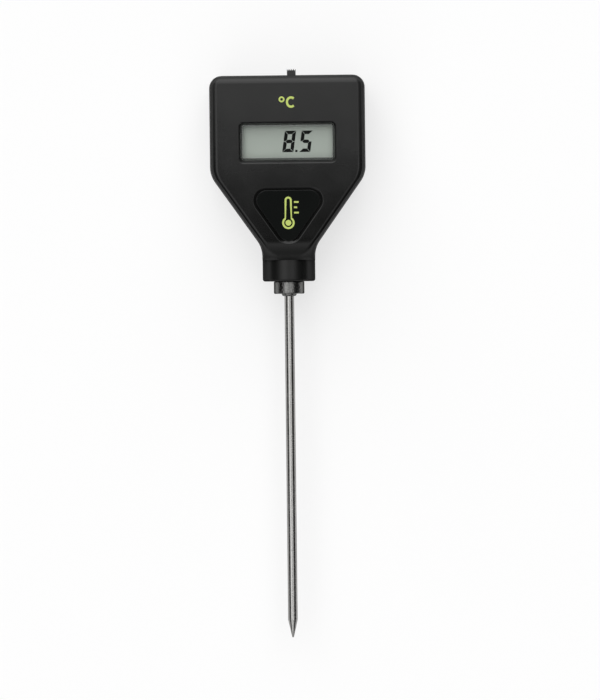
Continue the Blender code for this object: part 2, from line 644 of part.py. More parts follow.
def build_switch():
    """A slide switch on the board: sheet case, base, three pins, and the knob with its contact."""
    top = SWITCH_TOP - FIT
    middle = top - SWITCH_HEIGHT / 2
    case = box('switch_case', (SWITCH_LENGTH, SWITCH_HEIGHT, SWITCH_DEPTH), (0, middle, SWITCH_Z))
    inner_length = SWITCH_LENGTH - 2 * SWITCH_SHEET
    inner_depth = SWITCH_DEPTH - 2 * SWITCH_SHEET
    inside = box('inside', (inner_length, SWITCH_HEIGHT, inner_depth), (0, middle - SWITCH_SHEET, SWITCH_Z))
    slot = (STEM_WIDTH + KNOB_TRAVEL + 2 * SLIDE, 4 * SWITCH_SHEET, STEM_DEPTH + 2 * SLIDE)
    cut(case, inside, box('slot', slot, (0, top, SWITCH_Z)))
    base_top = top - SWITCH_HEIGHT + BASE_THICKNESS
    base_size = (inner_length - 2 * FIT, BASE_THICKNESS, inner_depth - 2 * FIT)
    base = box('switch_base', base_size, (0, base_top - BASE_THICKNESS / 2, SWITCH_Z))
    pins = []
    holes = []
    pin_top = base_top + FIT
    low = BOARD_REAR - 0.6
    half = PIN_WIDTH / 2
    bend = pin_bend()
    for i in (-1, 0, 1):
        x = i * PIN_PITCH
        hole = PIN_WIDTH + 2 * FIT
        holes.append(box('pin_hole', (hole, 4 * BASE_THICKNESS, hole), (x, base_top, SWITCH_Z)))
        outline = [(bend - half, low), (bend + half, low)]
        outline += [(bend + half, SWITCH_Z - half), (pin_top, SWITCH_Z - half)]
        outline += [(pin_top, SWITCH_Z + half), (bend - half, SWITCH_Z + half)]
        pins.append(side_prism(f'switch_pin_{i + 2}', outline, x - half, x + half))
    cut(base, *holes)
    contact_thickness = 0.35
    contact_low = pin_top + FIT
    rest = Vector((KNOB_TRAVEL / 2, 0, SWITCH_Z))
    contact_centre = rest + Vector((0, contact_low + contact_thickness / 2, 0))
    contact_size = (PIN_PITCH + 2 * PIN_WIDTH, contact_thickness, STEM_DEPTH)
    contact = box('switch_contact', contact_size, contact_centre)
    slider_low = contact_low + contact_thickness + SEAT
    slider_top = top - SWITCH_SHEET - FIT
    slider_size = (SLIDER_LENGTH, slider_top - slider_low, inner_depth - 2 * SLIDE)
    slider = box('slider', slider_size, rest + Vector((0, (slider_low + slider_top) / 2, 0)))
    stem_low = (slider_low + slider_top) / 2
    stem = box('stem', (STEM_WIDTH, TOP - stem_low, STEM_DEPTH), rest + Vector((0, (TOP + stem_low) / 2, 0)))
    knob = knob_head(rest)
    join(knob, stem, slider)
    return [case, base] + pins, [knob, contact]


def knob_head(rest):
    """The finger piece, with its ridges along the top, round the slide's own axis."""
    half = KNOB_WIDTH / 2
    low = SWITCH_TOP + FIT
    crest = TOP + KNOB_HEIGHT
    pitch = KNOB_WIDTH / (KNOB_RIDGES - 1)
    outline = [(-half, low), (half, low), (half, crest)]
    for i in range(KNOB_RIDGES - 1):
        outline.append((half - (i + 0.5) * pitch, crest - RIDGE_DEPTH))
        outline.append((half - (i + 1) * pitch, crest))
    return prism('switch_knob', outline, -KNOB_DEPTH / 2, KNOB_DEPTH / 2, location=rest)


def build_battery():
    """The cell lies across the housing between a flat contact and a bowed spring."""
    radius = BATTERY_DIAMETER / 2
    nub = NUB_DIAMETER / 2
    body = BATTERY_LENGTH - NUB_HEIGHT
    profile = [(0, 0), (radius - 0.5, 0), (radius, 0.5)]
    profile += [(radius, body - 0.5), (radius - 0.5, body), (nub, body)]
    profile += [(nub, BATTERY_LENGTH - 0.2), (nub - 0.2, BATTERY_LENGTH), (0, BATTERY_LENGTH)]
    place = (BATTERY_START, BATTERY_Y, BATTERY_Z)
    battery = turned('battery', profile, 32, location=place, rotation=(0, math.pi / 2, 0))
    low = BATTERY_Z - CONTACT_REACH
    high = BOARD_REAR - 2 * SEAT
    tab_top = BOARD_FRONT + 0.5
    half = CONTACT_WIDTH / 2
    start = BATTERY_START + BATTERY_LENGTH + SEAT
    outline = [(-half, low), (half, low), (half, tab_top)]
    outline += [(half - TAB_WIDTH, tab_top), (half - TAB_WIDTH, high)]
    outline.append((-half, high))
    plate = [(BATTERY_Y + y, z) for y, z in outline]
    contact = side_prism('battery_contact', plate, start, start + CONTACT_THICKNESS)
    back = BATTERY_START - SEAT - SPRING_RISE
    bow = SPRING_RISE - CONTACT_THICKNESS
    flat = TAB_WIDTH
    face = [(-half, 0.0)]
    span = half - flat
    face += [(y, bow * math.cos(math.pi * y / (2 * span)) ** 2) for y in arc(-span, span, 10)]
    face.append((half, 0.0))
    outline = [(back + rise, BATTERY_Y + y) for y, rise in face]
    outline += [(back + CONTACT_THICKNESS + rise, BATTERY_Y + y) for y, rise in reversed(face)]
    spring = prism('battery_spring', outline, low, high)
    tab_size = (CONTACT_THICKNESS, TAB_WIDTH, tab_top - high + 0.5)
    tab_y = BATTERY_Y + half - TAB_WIDTH / 2
    join(spring, box('tab', tab_size, (back + CONTACT_THICKNESS / 2, tab_y, tab_top - tab_size[2] / 2)))
    return [battery, contact, spring]


def lead(name, side, start, tube_top):
    """An insulated wire from the sensor, up the tube and across to its pad on the board."""
    near = side * LEAD_SPACING / 2
    far = side * PAD_SPACING / 2
    pad_z = BOARD_REAR - LEAD_DIAMETER / 2 - FIT
    points = [(near, start, PARTING), (near, (start + tube_top) / 2, PARTING)]
    y0 = NECK_END + tube_top_above_neck() + 1.5
    y1 = BOARD_LOW + 1.0
    for t in arc(0.0, 1.0, 8):
        ease = t * t * (3 - 2 * t)
        points.append((near + (far - near) * ease, y0 + (y1 - y0) * t, PARTING + (pad_z - PARTING) * ease))
    points.append((far, y1 + 2.5, pad_z))
    curve = bpy.data.curves.new(name, 'CURVE')
    curve.dimensions = '3D'
    curve.bevel_depth = LEAD_DIAMETER / 2 * MM
    curve.bevel_resolution = 2
    curve.use_fill_caps = True
    spline = curve.splines.new('POLY')
    spline.points.add(len(points) - 1)
    for place, point in zip(spline.points, points):
        place.co = (*(Vector(point) * MM), 1.0)
    obj = bpy.data.objects.new(name, curve)
    bpy.context.scene.collection.objects.link(obj)
    return obj


def tube_top_above_neck():
    return WALL + WASHER_THICKNESS + NUT_HEIGHT + 2 * SEAT + SHANK_STAND + TUBE_STAND


def build_probe():
    """Collar with its nut and washer, tube, pointed tip, and the sensor with its leads."""
    outer = PROBE_DIAMETER / 2
    inner = outer - TUBE_WALL
    bore = outer + SEAT
    shank = SHANK_DIAMETER / 2
    shank_top = -(tube_top_above_neck() - TUBE_STAND)
    rim = COLLAR_DIAMETER / 2
    dome = COLLAR_DOME_DIAMETER / 2
    collar = [(bore, shank_top), (shank - 0.3, shank_top), (shank, shank_top + 0.3), (shank, SEAT)]
    collar += [(rim - 0.2, SEAT), (rim, SEAT + 0.2)]
    collar += [(rim - COLLAR_FILLET * (1 - math.cos(a)), COLLAR_LENGTH - COLLAR_FILLET * (1 - math.sin(a)))
               for a in arc(0, math.pi / 2, 3)]
    collar += [(bore + (dome - bore) * math.cos(a), COLLAR_LENGTH + COLLAR_DOME_HEIGHT * math.sin(a))
               for a in arc(0, math.pi / 2, 4)]
    made = [along_probe('probe_collar', collar, 32, closed=True)]

    washer_end = -WALL - SEAT
    washer_top = washer_end - WASHER_THICKNESS
    ring = WASHER_DIAMETER / 2
    hole = shank + FIT
    profile = [(hole, washer_top), (ring, washer_top), (ring, washer_end), (hole, washer_end)]
    made.append(along_probe('collar_washer', profile, 32, closed=True))
    nut_end = washer_top - SEAT
    corner = NUT_FLATS / math.sqrt(3)
    hexagon = [(corner * math.cos(a), corner * math.sin(a)) for a in arc(0, math.tau, 6)[:-1]]
    nut = prism('collar_nut', hexagon, nut_end - NUT_HEIGHT, nut_end, location=(0, NECK_END, PARTING),
                rotation=(math.pi / 2, 0, 0))
    nut_top = nut_end - NUT_HEIGHT
    profile = [(0, nut_top - 1), (hole, nut_top - 1), (hole, nut_end + 1), (0, nut_end + 1)]
    cut(nut, along_probe('nut_bore', profile, 32))
    made.append(nut)

    tube_end = PROBE_LENGTH - TIP_LENGTH
    tube_top = -tube_top_above_neck()
    profile = [(inner, tube_top), (outer, tube_top), (outer, tube_end), (inner, tube_end)]
    made.append(along_probe('probe_tube', profile, 32, closed=True))
    spigot = inner - SEAT
    tip = [(0, tube_end - SPIGOT_LENGTH), (spigot, tube_end - SPIGOT_LENGTH), (spigot, tube_end + SEAT)]
    tip.append((outer, tube_end + SEAT))
    tip += [(TIP_BLUNT, PROBE_LENGTH - TIP_BLUNT / 2), (TIP_BLUNT / 2, PROBE_LENGTH)]
    tip.append((0, PROBE_LENGTH))
    made.append(along_probe('probe_tip', tip, 32))

    bead_end = tube_end - SPIGOT_LENGTH - SEAT
    radius = inner - 2 * FIT
    middle = bead_end - BEAD_LENGTH / 2
    turns = arc(0, math.pi, 8)
    bead = [(radius * math.sin(a), middle - BEAD_LENGTH / 2 * math.cos(a)) for a in turns]
    made.append(along_probe('thermistor', bead, 16))
    lead_start = NECK_END - bead_end + BEAD_LENGTH + SEAT
    for i, side in enumerate((-1, 1), 1):
        made.append(lead(f'sensor_lead_{i}', side, lead_start, NECK_END - tube_top))
    sleeve = inner - SEAT
    low = tube_top - SLEEVE_LENGTH / 4
    profile = [(sleeve - SLEEVE_WALL, low), (sleeve, low), (sleeve, low + SLEEVE_LENGTH)]
    profile.append((sleeve - SLEEVE_WALL, low + SLEEVE_LENGTH))
    made.append(along_probe('lead_sleeve', profile, 24, closed=True))
    return made


FINISHES = {
    'housing': ((0.030, 0.030, 0.029), 0.42, 0.0, ('front_shell', 'rear_cover')),
    'knob': ((0.016, 0.016, 0.016), 0.5, 0.0, ('switch_knob',)),
    'inlay': ((0.006, 0.006, 0.007), 0.12, 0.0, ('front_inlay',)),
    'clear': ((0.82, 0.86, 0.84), 0.05, 0.0, ('display_window',)),
    'display': ((0.33, 0.37, 0.33), 0.2, 0.0, ('lcd_front_glass', 'lcd_rear_glass')),
    'frame': ((0.02, 0.02, 0.02), 0.6, 0.0, ('lcd_frame', 'processor_chip')),
    'elastomer': ((0.35, 0.20, 0.18), 0.8, 0.0, ('zebra_strip',)),
    'laminate': ((0.02, 0.14, 0.05), 0.45, 0.0, ('circuit_board', 'switch_base')),
    'bright': ((0.62, 0.62, 0.61), 0.3, 1.0,
               ('probe_collar', 'collar_', 'clock_crystal', 'buffer_capacitor')),
    'probe': ((0.66, 0.66, 0.65), 0.16, 1.0, ('probe_tube', 'probe_tip')),
    'zinc': ((0.55, 0.55, 0.53), 0.35, 1.0, ('cover_screw', 'board_screw', 'switch_case')),
    'contact': ((0.70, 0.55, 0.30), 0.3, 1.0,
                ('switch_contact', 'switch_pin', 'battery_contact', 'battery_spring')),
    'cell': ((0.05, 0.12, 0.30), 0.3, 0.0, ('battery',)),
    'sensor': ((0.08, 0.05, 0.04), 0.5, 0.0, ('thermistor',)),
    'insulation': ((0.55, 0.55, 0.52), 0.5, 0.0, ('sensor_lead', 'lead_sleeve')),
}


def finish(obj):
    """Gives a piece its colour and shades its round faces smooth."""
    colour, roughness, metallic = (0.5, 0.5, 0.5), 0.5, 0.0
    longest = -1
    for tint, rough, metal, names in FINISHES.values():
        for name in names:
            if obj.name.startswith(name) and len(name) > longest:
                colour, roughness, metallic = tint, rough, metal
                longest = len(name)
    material = bpy.data.materials.new(obj.name)
    material.use_nodes = True
    shader = material.node_tree.nodes['Principled BSDF']
    shader.inputs['Base Color'].default_value = (*colour, 1.0)
    shader.inputs['Roughness'].default_value = roughness
    shader.inputs['Metallic'].default_value = metallic
    obj.data.materials.clear()
    obj.data.materials.append(material)
    if obj.type == 'MESH':
        obj.data.shade_smooth()
        obj.data.set_sharp_from_angle(angle=math.radians(32))


def empty(name, location, parent=None):
    holder = bpy.data.objects.new(name, None)
    holder.location = Vector(location) * MM
    holder.parent = parent
    bpy.context.scene.collection.objects.link(holder)
    return holder


def main():
    for obj in list(bpy.data.objects):
        bpy.data.objects.remove(obj)
    fixed = [*build_housing(), *build_screws(), *build_display()]
    fixed += [*build_board(), *build_battery(), *build_probe()]
    switch, moving = build_switch()
    whole = empty('thermometer', (0, 0, 0))
    slide_place = Vector((KNOB_TRAVEL / 2, 0, SWITCH_Z))
    slide = empty('switch_slide', slide_place, whole)
    for obj in fixed + switch:
        finish(obj)
        obj.parent = whole
    for obj in moving:
        finish(obj)
        obj.parent = slide
        obj.location -= slide_place * MM


main()
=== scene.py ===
import math

import bmesh
import bpy
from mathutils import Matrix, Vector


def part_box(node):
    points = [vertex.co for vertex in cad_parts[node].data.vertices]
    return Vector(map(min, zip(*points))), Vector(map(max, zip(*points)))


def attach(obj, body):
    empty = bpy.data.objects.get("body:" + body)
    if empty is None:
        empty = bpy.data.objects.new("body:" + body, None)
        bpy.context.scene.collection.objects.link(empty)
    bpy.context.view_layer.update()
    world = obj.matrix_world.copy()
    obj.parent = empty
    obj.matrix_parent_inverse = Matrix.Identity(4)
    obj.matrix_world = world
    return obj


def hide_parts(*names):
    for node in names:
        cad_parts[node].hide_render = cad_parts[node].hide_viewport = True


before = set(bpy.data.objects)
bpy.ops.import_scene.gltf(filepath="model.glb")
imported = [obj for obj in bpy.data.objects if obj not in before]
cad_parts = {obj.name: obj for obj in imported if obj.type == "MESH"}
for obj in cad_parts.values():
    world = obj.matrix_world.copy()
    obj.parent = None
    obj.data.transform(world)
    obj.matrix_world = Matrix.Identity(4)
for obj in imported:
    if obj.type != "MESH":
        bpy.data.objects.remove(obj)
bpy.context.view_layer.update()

mm = 0.001
weld = 0.0005  # in millimetres, points of a new mesh this near are one point
sliver = 0.004  # in millimetres, the same after a cut
past = 1.0  # in millimetres, how far a cutting shape runs past what it cuts
print("frame loaded,", len(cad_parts), "nodes")


class Wire:
    # a shader socket that can stand in a Python sum
    def __init__(self, tree, socket=None):
        self.tree = tree
        self.socket = socket

    def node(self, kind, settings=None, sockets=None, out=0):
        made = self.tree.nodes.new(kind)
        for key, value in (settings or {}).items():
            setattr(made, key, value)
        for key, value in (sockets or {}).items():
            if isinstance(value, Wire):
                self.tree.links.new(value.socket, made.inputs[key])
            else:
                made.inputs[key].default_value = value
        return Wire(self.tree, made.outputs[out] if made.outputs else None)

    def maths(self, operation, first, second):
        return self.node("ShaderNodeMath", {"operation": operation}, {0: first, 1: second})

    def __add__(self, other):
        return self.maths("ADD", self, other)

    def __sub__(self, other):
        return self.maths("SUBTRACT", self, other)

    def __rsub__(self, other):
        return self.maths("SUBTRACT", other, self)

    def __mul__(self, other):
        return self.maths("MULTIPLY", self, other)

    def __gt__(self, other):
        return self.maths("GREATER_THAN", self, other)

    def __lt__(self, other):
        return self.maths("LESS_THAN", self, other)

    __radd__ = __add__
    __rmul__ = __mul__


# material helpers: every look starts from the object's own coordinates, in metres

def startLook(name):
    material = bpy.data.materials.new(name)
    material.use_nodes = True
    material.node_tree.nodes.clear()
    return material, Wire(material.node_tree).node("ShaderNodeTexCoord", out="Object")


def noise(place, size, detail=3.0):  # size of one blotch in millimetres
    sockets = {"Vector": place, "Scale": 1 / (size * mm), "Detail": detail}
    return place.node("ShaderNodeTexNoise", None, sockets)


def streaks(place, counts, detail=2.0):  # how many streaks to a metre along each axis
    drawn = place.node("ShaderNodeVectorMath", {"operation": "MULTIPLY"}, {0: place, 1: counts})
    return place.node("ShaderNodeTexNoise", None, {"Vector": drawn, "Scale": 1.0, "Detail": detail})


def ease(value, low, high):  # 0 below low, 1 above high, smooth between
    sockets = {"Value": value, "From Min": low, "From Max": high}
    return value.node("ShaderNodeMapRange", {"interpolation_type": "SMOOTHSTEP"}, sockets)


def along(vector, axis):  # one coordinate of a vector
    return vector.node("ShaderNodeSeparateXYZ", None, {0: vector}, out=axis)


def sideMask(place, low, high):  # 0 on the flat face, 1 on what turns away from it
    facing = along(place.node("ShaderNodeTexCoord", out="Normal"), "Z")
    return 1 - ease(facing * facing, low, high)


def tint(factor, first, second):
    sockets = {0: factor}
    for slot, colour in ((6, first), (7, second)):
        sockets[slot] = colour if isinstance(colour, Wire) else (*colour, 1.0)
    return factor.node("ShaderNodeMix", {"data_type": "RGBA"}, sockets, out=2)


def shaded(colour, share):  # a lighter or darker neighbour of a colour
    return tuple(channel * share for channel in colour)


def varied(factor, colour, dark, light):  # from a darker to a lighter neighbour
    return tint(factor, shaded(colour, dark), shaded(colour, light))


def finishLook(place, colour, roughness, height=None, depth=0.01, **fixed):  # depth in millimetres
    sockets = {"Base Color": colour, "Roughness": roughness}
    sockets.update({key.replace("_", " "): value for key, value in fixed.items()})
    if height is not None:
        sockets["Normal"] = place.node("ShaderNodeBump", None, {"Distance": depth * mm, "Height": height})
    shader = place.node("ShaderNodeBsdfPrincipled", None, sockets)
    place.node("ShaderNodeOutputMaterial", None, {"Surface": shader})


def mouldTexture(place, grain):  # broad clouds, the mould's grain, and specks four times as coarse
    return noise(place, 9.0), noise(place, grain, 2.0), noise(place, grain * 4, 2.0)


def moulded(name, recipe):  # plastic and rubber out of a textured mould
    material, place = startLook(name)
    cloud, grain, speck = mouldTexture(place, recipe["grain"])
    colour = varied(cloud * 0.6 + speck * 0.4, recipe["colour"], 0.8, 1.2)
    uneven = 0.2 * (cloud - 0.5) + 0.25 * (grain - 0.5)
    roughness = recipe["roughness"] + recipe["roughness"] * uneven
    ior = recipe.get("ior", 1.46)
    finishLook(place, colour, roughness, grain + 0.5 * speck, recipe["depth"], IOR=ior)
    return material


def drawnMetal(name, recipe):  # metal with tool lines, grit and faint smears
    material, place = startLook(name)
    lines = streaks(place, recipe["lines"])
    smear = noise(place, 6.0)
    grit = noise(place, recipe["grit"])
    colour = varied(smear * 0.5 + lines * 0.5, recipe["colour"], 0.86, 1.12)
    roughness = recipe["roughness"] + 0.12 * (smear - 0.5) + 0.14 * (lines - 0.5)
    share = recipe.get("lineShare", 0.7)
    height = share * lines + (1 - share) * grit
    rim = recipe.get("rim", 1.0)  # how much of the bright rim of bare metal is left
    rimTint = (rim, rim, rim, 1.0)
    finishLook(place, colour, roughness, height, recipe["depth"], Metallic=1.0, Specular_Tint=rimTint)
    return material


# mesh helpers: shapes are drawn in millimetres and stored in metres

def spread(start, stop, steps):
    return [start + (stop - start) * i / steps for i in range(steps + 1)]


def quarter(steps):  # the angles of a quarter turn
    return spread(0, math.pi / 2, steps)


def meshObject(name, bm):
    bmesh.ops.remove_doubles(bm, verts=bm.verts, dist=weld)
    bmesh.ops.recalc_face_normals(bm, faces=bm.faces)
    bmesh.ops.scale(bm, vec=(mm, mm, mm), verts=bm.verts)
    mesh = bpy.data.meshes.new(name)
    bm.to_mesh(mesh)
    bm.free()
    obj = bpy.data.objects.new(name, mesh)
    bpy.context.scene.collection.objects.link(obj)
    return obj


def addLoft(bm, rings):  # skins closed rings of one length and caps both ends
    loops = [[bm.verts.new(point) for point in ring] for ring in rings]
    count = len(loops[0])
    for lower, upper in zip(loops, loops[1:]):
        for i in range(count):
            j = (i + 1) % count
            bm.faces.new((lower[i], lower[j], upper[j], upper[i]))
    bm.faces.new(loops[0])
    bm.faces.new(loops[-1])


def loft(name, rings):
    bm = bmesh.new()
    addLoft(bm, rings)
    return meshObject(name, bm)


def layers(name, levels):  # outlines in X and Y, each at its own height
    return loft(name, [[(x, y, z) for x, y in outline] for outline, z in levels])


def block(name, size, centre):
    corners = [(sx * size[0] / 2, sy * size[1] / 2) for sx, sy in ((1, 1), (-1, 1), (-1, -1), (1, -1))]
    outline = [(centre[0] + x, centre[1] + y) for x, y in corners]
    return layers(name, [(outline, centre[2] - size[2] / 2), (outline, centre[2] + size[2] / 2)])


def turn(name, profile, segments, place, closed=False):  # profile is radius and height along the axis
    bm = bmesh.new()
    angles = [math.tau * i / segments for i in range(segments)]
    rings = []
    for radius, height in profile:
        used = angles if radius > 0 else angles[:1]
        rings.append([bm.verts.new(place(radius, height, angle)) for angle in used])
    if closed:
        rings.append(rings[0])
    for lower, upper in zip(rings, rings[1:]):
        for i in range(segments):
            j = (i + 1) % segments
            corners = [ring[k % len(ring)] for ring, k in ((lower, i), (lower, j), (upper, j), (upper, i))]
            corners = list(dict.fromkeys(corners))
            if len(corners) > 2:
                bm.faces.new(corners)
    return meshObject(name, bm)


def putInOrder(mesh):  # numbers points and faces by their places, so that each run is the same
    order = sorted(range(len(mesh.vertices)), key=lambda i: mesh.vertices[i].co[:])
    points = [mesh.vertices[i].co[:] for i in order]
    rank = {old: new for new, old in enumerate(order)}
    faces = []
    for polygon in mesh.polygons:
        corners = [rank[i] for i in polygon.vertices]
        first = corners.index(min(corners))
        faces.append(corners[first:] + corners[:first])
    mesh.clear_geometry()
    mesh.from_pydata(points, [], sorted(faces))


def joinSlivers(mesh):  # a cut can leave points that all but coincide
    bm = bmesh.new()
    bm.from_mesh(mesh)
    bmesh.ops.remove_doubles(bm, verts=bm.verts, dist=sliver * mm)
    bmesh.ops.dissolve_degenerate(bm, edges=bm.edges, dist=sliver * mm)
    bm.to_mesh(mesh)
    bm.free()


def carve(body, tools, operation="DIFFERENCE"):
    group = bpy.data.collections.new("tools")
    for tool in tools:
        group.objects.link(tool)
    modifier = body.modifiers.new("carve", "BOOLEAN")
    modifier.operation = operation
    modifier.operand_type = "COLLECTION"
    modifier.collection = group
    modifier.solver = "EXACT"
    bpy.context.view_layer.update()
    graph = bpy.context.evaluated_depsgraph_get()
    mesh = bpy.data.meshes.new_from_object(body.evaluated_get(graph))
    body.modifiers.clear()
    body.data = mesh
    putInOrder(mesh)
    joinSlivers(mesh)
    putInOrder(mesh)
    for tool in tools:
        bpy.data.objects.remove(tool)
    bpy.data.collections.remove(group)
    return body


def fitOut(obj, look, body="housing", stands=(), bevel=0.0, angle=32):
    obj.data.materials.clear()
    obj.data.materials.append(look)
    obj.data.shade_smooth()
    obj.data.set_sharp_from_angle(angle=math.radians(angle))
    if bevel:
        edge = obj.modifiers.new("softEdge", "BEVEL")
        edge.width = bevel * mm
        edge.segments = 3
        edge.limit_method = "ANGLE"
        edge.angle_limit = math.radians(angle)
    normals = obj.modifiers.new("flatFaces", "WEIGHTED_NORMAL")
    normals.keep_sharp = not bevel
    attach(obj, body)
    if stands:
        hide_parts(*stands)
    return obj


def roundedBox(width, height, radius, centreY=0.0, steps=8):
    points = []
    for side, (sx, sy) in enumerate(((1, 1), (-1, 1), (-1, -1), (1, -1))):
        for angle in spread(side * math.pi / 2, (side + 1) * math.pi / 2, steps):
            x = sx * (width / 2 - radius) + radius * math.cos(angle)
            points.append((x, centreY + sy * (height / 2 - radius) + radius * math.sin(angle)))
    return points


# housing: two moulded halves, a shield that runs down to a round neck

shellLow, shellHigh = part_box("front_shell")
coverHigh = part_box("rear_cover")[1]
housing = {
    "halfWidth": coverHigh.x / mm, "top": shellHigh.y / mm, "depth": shellHigh.z / mm,
    "neckEnd": shellLow.y / mm,
    "printRoom": 0.03,  # the face lies this much low, so that print on it stays in the outline
    "sideLength": 32.0, "taper": math.radians(35.2), "corner": 4.0, "shoulder": 8.7, "blend": 8.7,
    "edge": 2.2, "leastEdge": 0.3, "edgeShare": 0.6, "leastStep": 0.05, "land": 1.5,
    "frontDraft": 0.55, "rearDraft": 0.3, "seam": 0.16, "wall": 2.0,
    "neckDiameter": 16.9, "neckLength": 6.8, "neckRun": 4.0, "neckFillet": 0.8, "neckLand": 2.0,
    "neckWall": 1.65, "neckSegments": 128, "ledgeStep": 0.05, "shaftHole": 4.3, "boreSegments": 64,
    "noseLength": 8.0, "noseCurve": 2.6, "noseEdge": 6.4,
    "slot": (6.3, 5.0, 3.8), "slotDrop": 2.0, "slotHeight": 17.05,
    "finish": {
        # the upper and lower colours are painted light: lighter at the top and darker below, the light's
        # falloff painted into the plastic
        "upper": (0.0152, 0.0154, 0.0151), "lower": (0.0046, 0.0048, 0.0045), "grain": 0.16, "depth": 0.005,
        "upperRoughness": 0.34, "lowerRoughness": 0.15, "neckRoughness": 0.21, "sideRoughness": 0.62,
        "sideBand": (0.06, 0.6), "neckBand": (-1.0, 9.0), "cloudShift": 0.012, "ior": 1.37,
    },
}
parting = housing["depth"] / 2
ledge = housing["neckDiameter"] / 2 + housing["ledgeStep"]
shoulderY = housing["top"] - housing["sideLength"]
taperEnd = shoulderY - (housing["halfWidth"] - ledge) / math.tan(housing["taper"])
neckTop = housing["neckEnd"] + housing["neckLength"]
noseY = neckTop + housing["noseLength"]
cornerY = housing["top"] - housing["corner"]
shoulderArcY = shoulderY + housing["shoulder"] * math.tan(housing["taper"] / 2)
blendArcY = taperEnd - housing["blend"] * math.tan(housing["taper"] / 2)


def halfWidthAt(y, inset):
    taper = housing["taper"]
    wide = housing["halfWidth"]
    if y > cornerY:
        radius = housing["corner"] - inset
        return wide - housing["corner"] + math.sqrt(max(radius ** 2 - (y - cornerY) ** 2, 0.0))
    if y > shoulderArcY:
        return wide - inset
    radius = housing["shoulder"] - inset
    if y > shoulderArcY - radius * math.sin(taper):
        return wide - housing["shoulder"] + math.sqrt(radius ** 2 - (y - shoulderArcY) ** 2)
    radius = housing["blend"] + inset
    if y > blendArcY + radius * math.sin(taper):
        return wide + (y - shoulderY) * math.tan(taper) - inset / math.cos(taper)
    if y > blendArcY:
        return ledge + housing["blend"] - math.sqrt(radius ** 2 - (y - blendArcY) ** 2)
    return ledge - inset


def halfDepthAt(y, inset):  # half the depth, and the radius of the long edge there
    nose = min(max((noseY - y) / housing["noseLength"], 0.0), 1.0) ** housing["noseCurve"]
    radius = housing["edge"] + (housing["noseEdge"] - housing["edge"]) * nose - inset
    radius = max(radius, housing["leastEdge"])
    depth = parting - inset - (parting - ledge) * nose
    below = housing["top"] - inset - y
    draft = housing["frontDraft"]
    if below < draft:
        depth = housing["land"] + (depth - radius - housing["land"]) * below / draft
    elif below < draft + radius:
        depth += math.sqrt(max(radius ** 2 - (draft + radius - below) ** 2, 0.0)) - radius
    return depth, min(radius, depth * housing["edgeShare"])


def housingRing(y, inset, steps):  # one section across the housing
    wide = halfWidthAt(y, inset)
    depth, radius = halfDepthAt(y, inset)
    corners = {}
    for face, draft in ((1, housing["frontDraft"]), (-1, housing["rearDraft"])):
        lean = draft * (depth - radius) / parting
        low = depth - housing["printRoom"] if face > 0 else depth
        corners[face] = []
        for a in quarter(steps):
            x = wide - lean - radius + radius * math.cos(a)
            corners[face].append((x, low - radius + radius * math.sin(a)))
    ring = [(wide, 0.0), *corners[1]]
    ring += [(-x, z) for x, z in reversed(corners[1])]
    ring += [(-wide, 0.0)]
    ring += [(-x, -z) for x, z in corners[-1]]
    ring += [(x, -z) for x, z in reversed(corners[-1])]
    return [(x, y, parting + z) for x, z in ring]


def housingHeights(inset, low, steps):  # where the sections lie, closer together on the curves
    top = housing["top"] - inset
    edge = max(housing["edge"] - inset, housing["leastEdge"])
    shoulder = housing["shoulder"] - inset
    heights = [cornerY + (housing["corner"] - inset) * math.cos(a) for a in quarter(steps)]
    heights += [top - housing["frontDraft"] - edge * (1 - math.cos(a)) for a in quarter(steps)]
    heights += [shoulderArcY - shoulder * math.sin(a) for a in spread(0, housing["taper"], steps)]
    heights += spread(noseY, low, 2 * steps)
    kept = []
    for y in sorted(heights, reverse=True):
        if not kept or kept[-1] - y > housing["leastStep"]:
            kept.append(y)
    kept[-1] = low
    return kept


def onProbe(radius, height, angle):  # heights run from the end of the neck to the tip
    return (radius * math.cos(angle), housing["neckEnd"] - height, parting + radius * math.sin(angle))


def onScrew(x, y):  # heights run from the back face into the housing
    return lambda radius, height, angle: (x + radius * math.cos(angle), y + radius * math.sin(angle), height)


def housingForm():
    body = loft("housingForm", [housingRing(y, 0.0, 12) for y in housingHeights(0.0, neckTop, 14)])
    radius = housing["neckDiameter"] / 2
    root = -housing["neckLength"] - housing["neckRun"] / 2
    fillet = housing["neckFillet"]
    profile = [(0, root), (radius, root), (radius, -fillet - housing["neckLand"])]
    profile += [(radius - fillet * (1 - math.cos(a)), fillet * (math.sin(a) - 1)) for a in quarter(8)]
    profile.append((0, 0))
    return carve(body, [turn("neck", profile, housing["neckSegments"], onProbe)], "UNION")


def housingHalf(name, side):
    half = housingForm()
    half.name = name
    wall = housing["wall"]
    cavity = loft("cavity", [housingRing(y, wall, 4) for y in housingHeights(wall, taperEnd, 5)])
    chamber = housing["neckDiameter"] / 2 - housing["neckWall"]
    deep = -housing["neckLength"] - housing["neckRun"] - past
    shaft = housing["shaftHole"]
    bore = [(0, deep), (chamber, deep), (chamber, -wall), (shaft, -wall), (shaft, past), (0, past)]
    reach = 300.0  # longer than the part
    cutZ = parting - side * (reach / 2 - housing["seam"] / 2)
    away = block("otherHalf", (reach, reach, reach), (0, 0, cutZ))
    return carve(half, [cavity, turn("bore", bore, housing["boreSegments"], onProbe), away])


recess = {
    # the rim's section: share of the way out, share of the way up
    "rim": ((0.0, 0.0), (0.72, 0.78), (0.84, 0.895), (0.94, 0.96), (1.04, 0.99), (1.12, 1.0)),
    "leastDepth": 0.02,
}


def faceHeight(y):
    return parting + halfDepthAt(y, 0.0)[0] - housing["printRoom"]


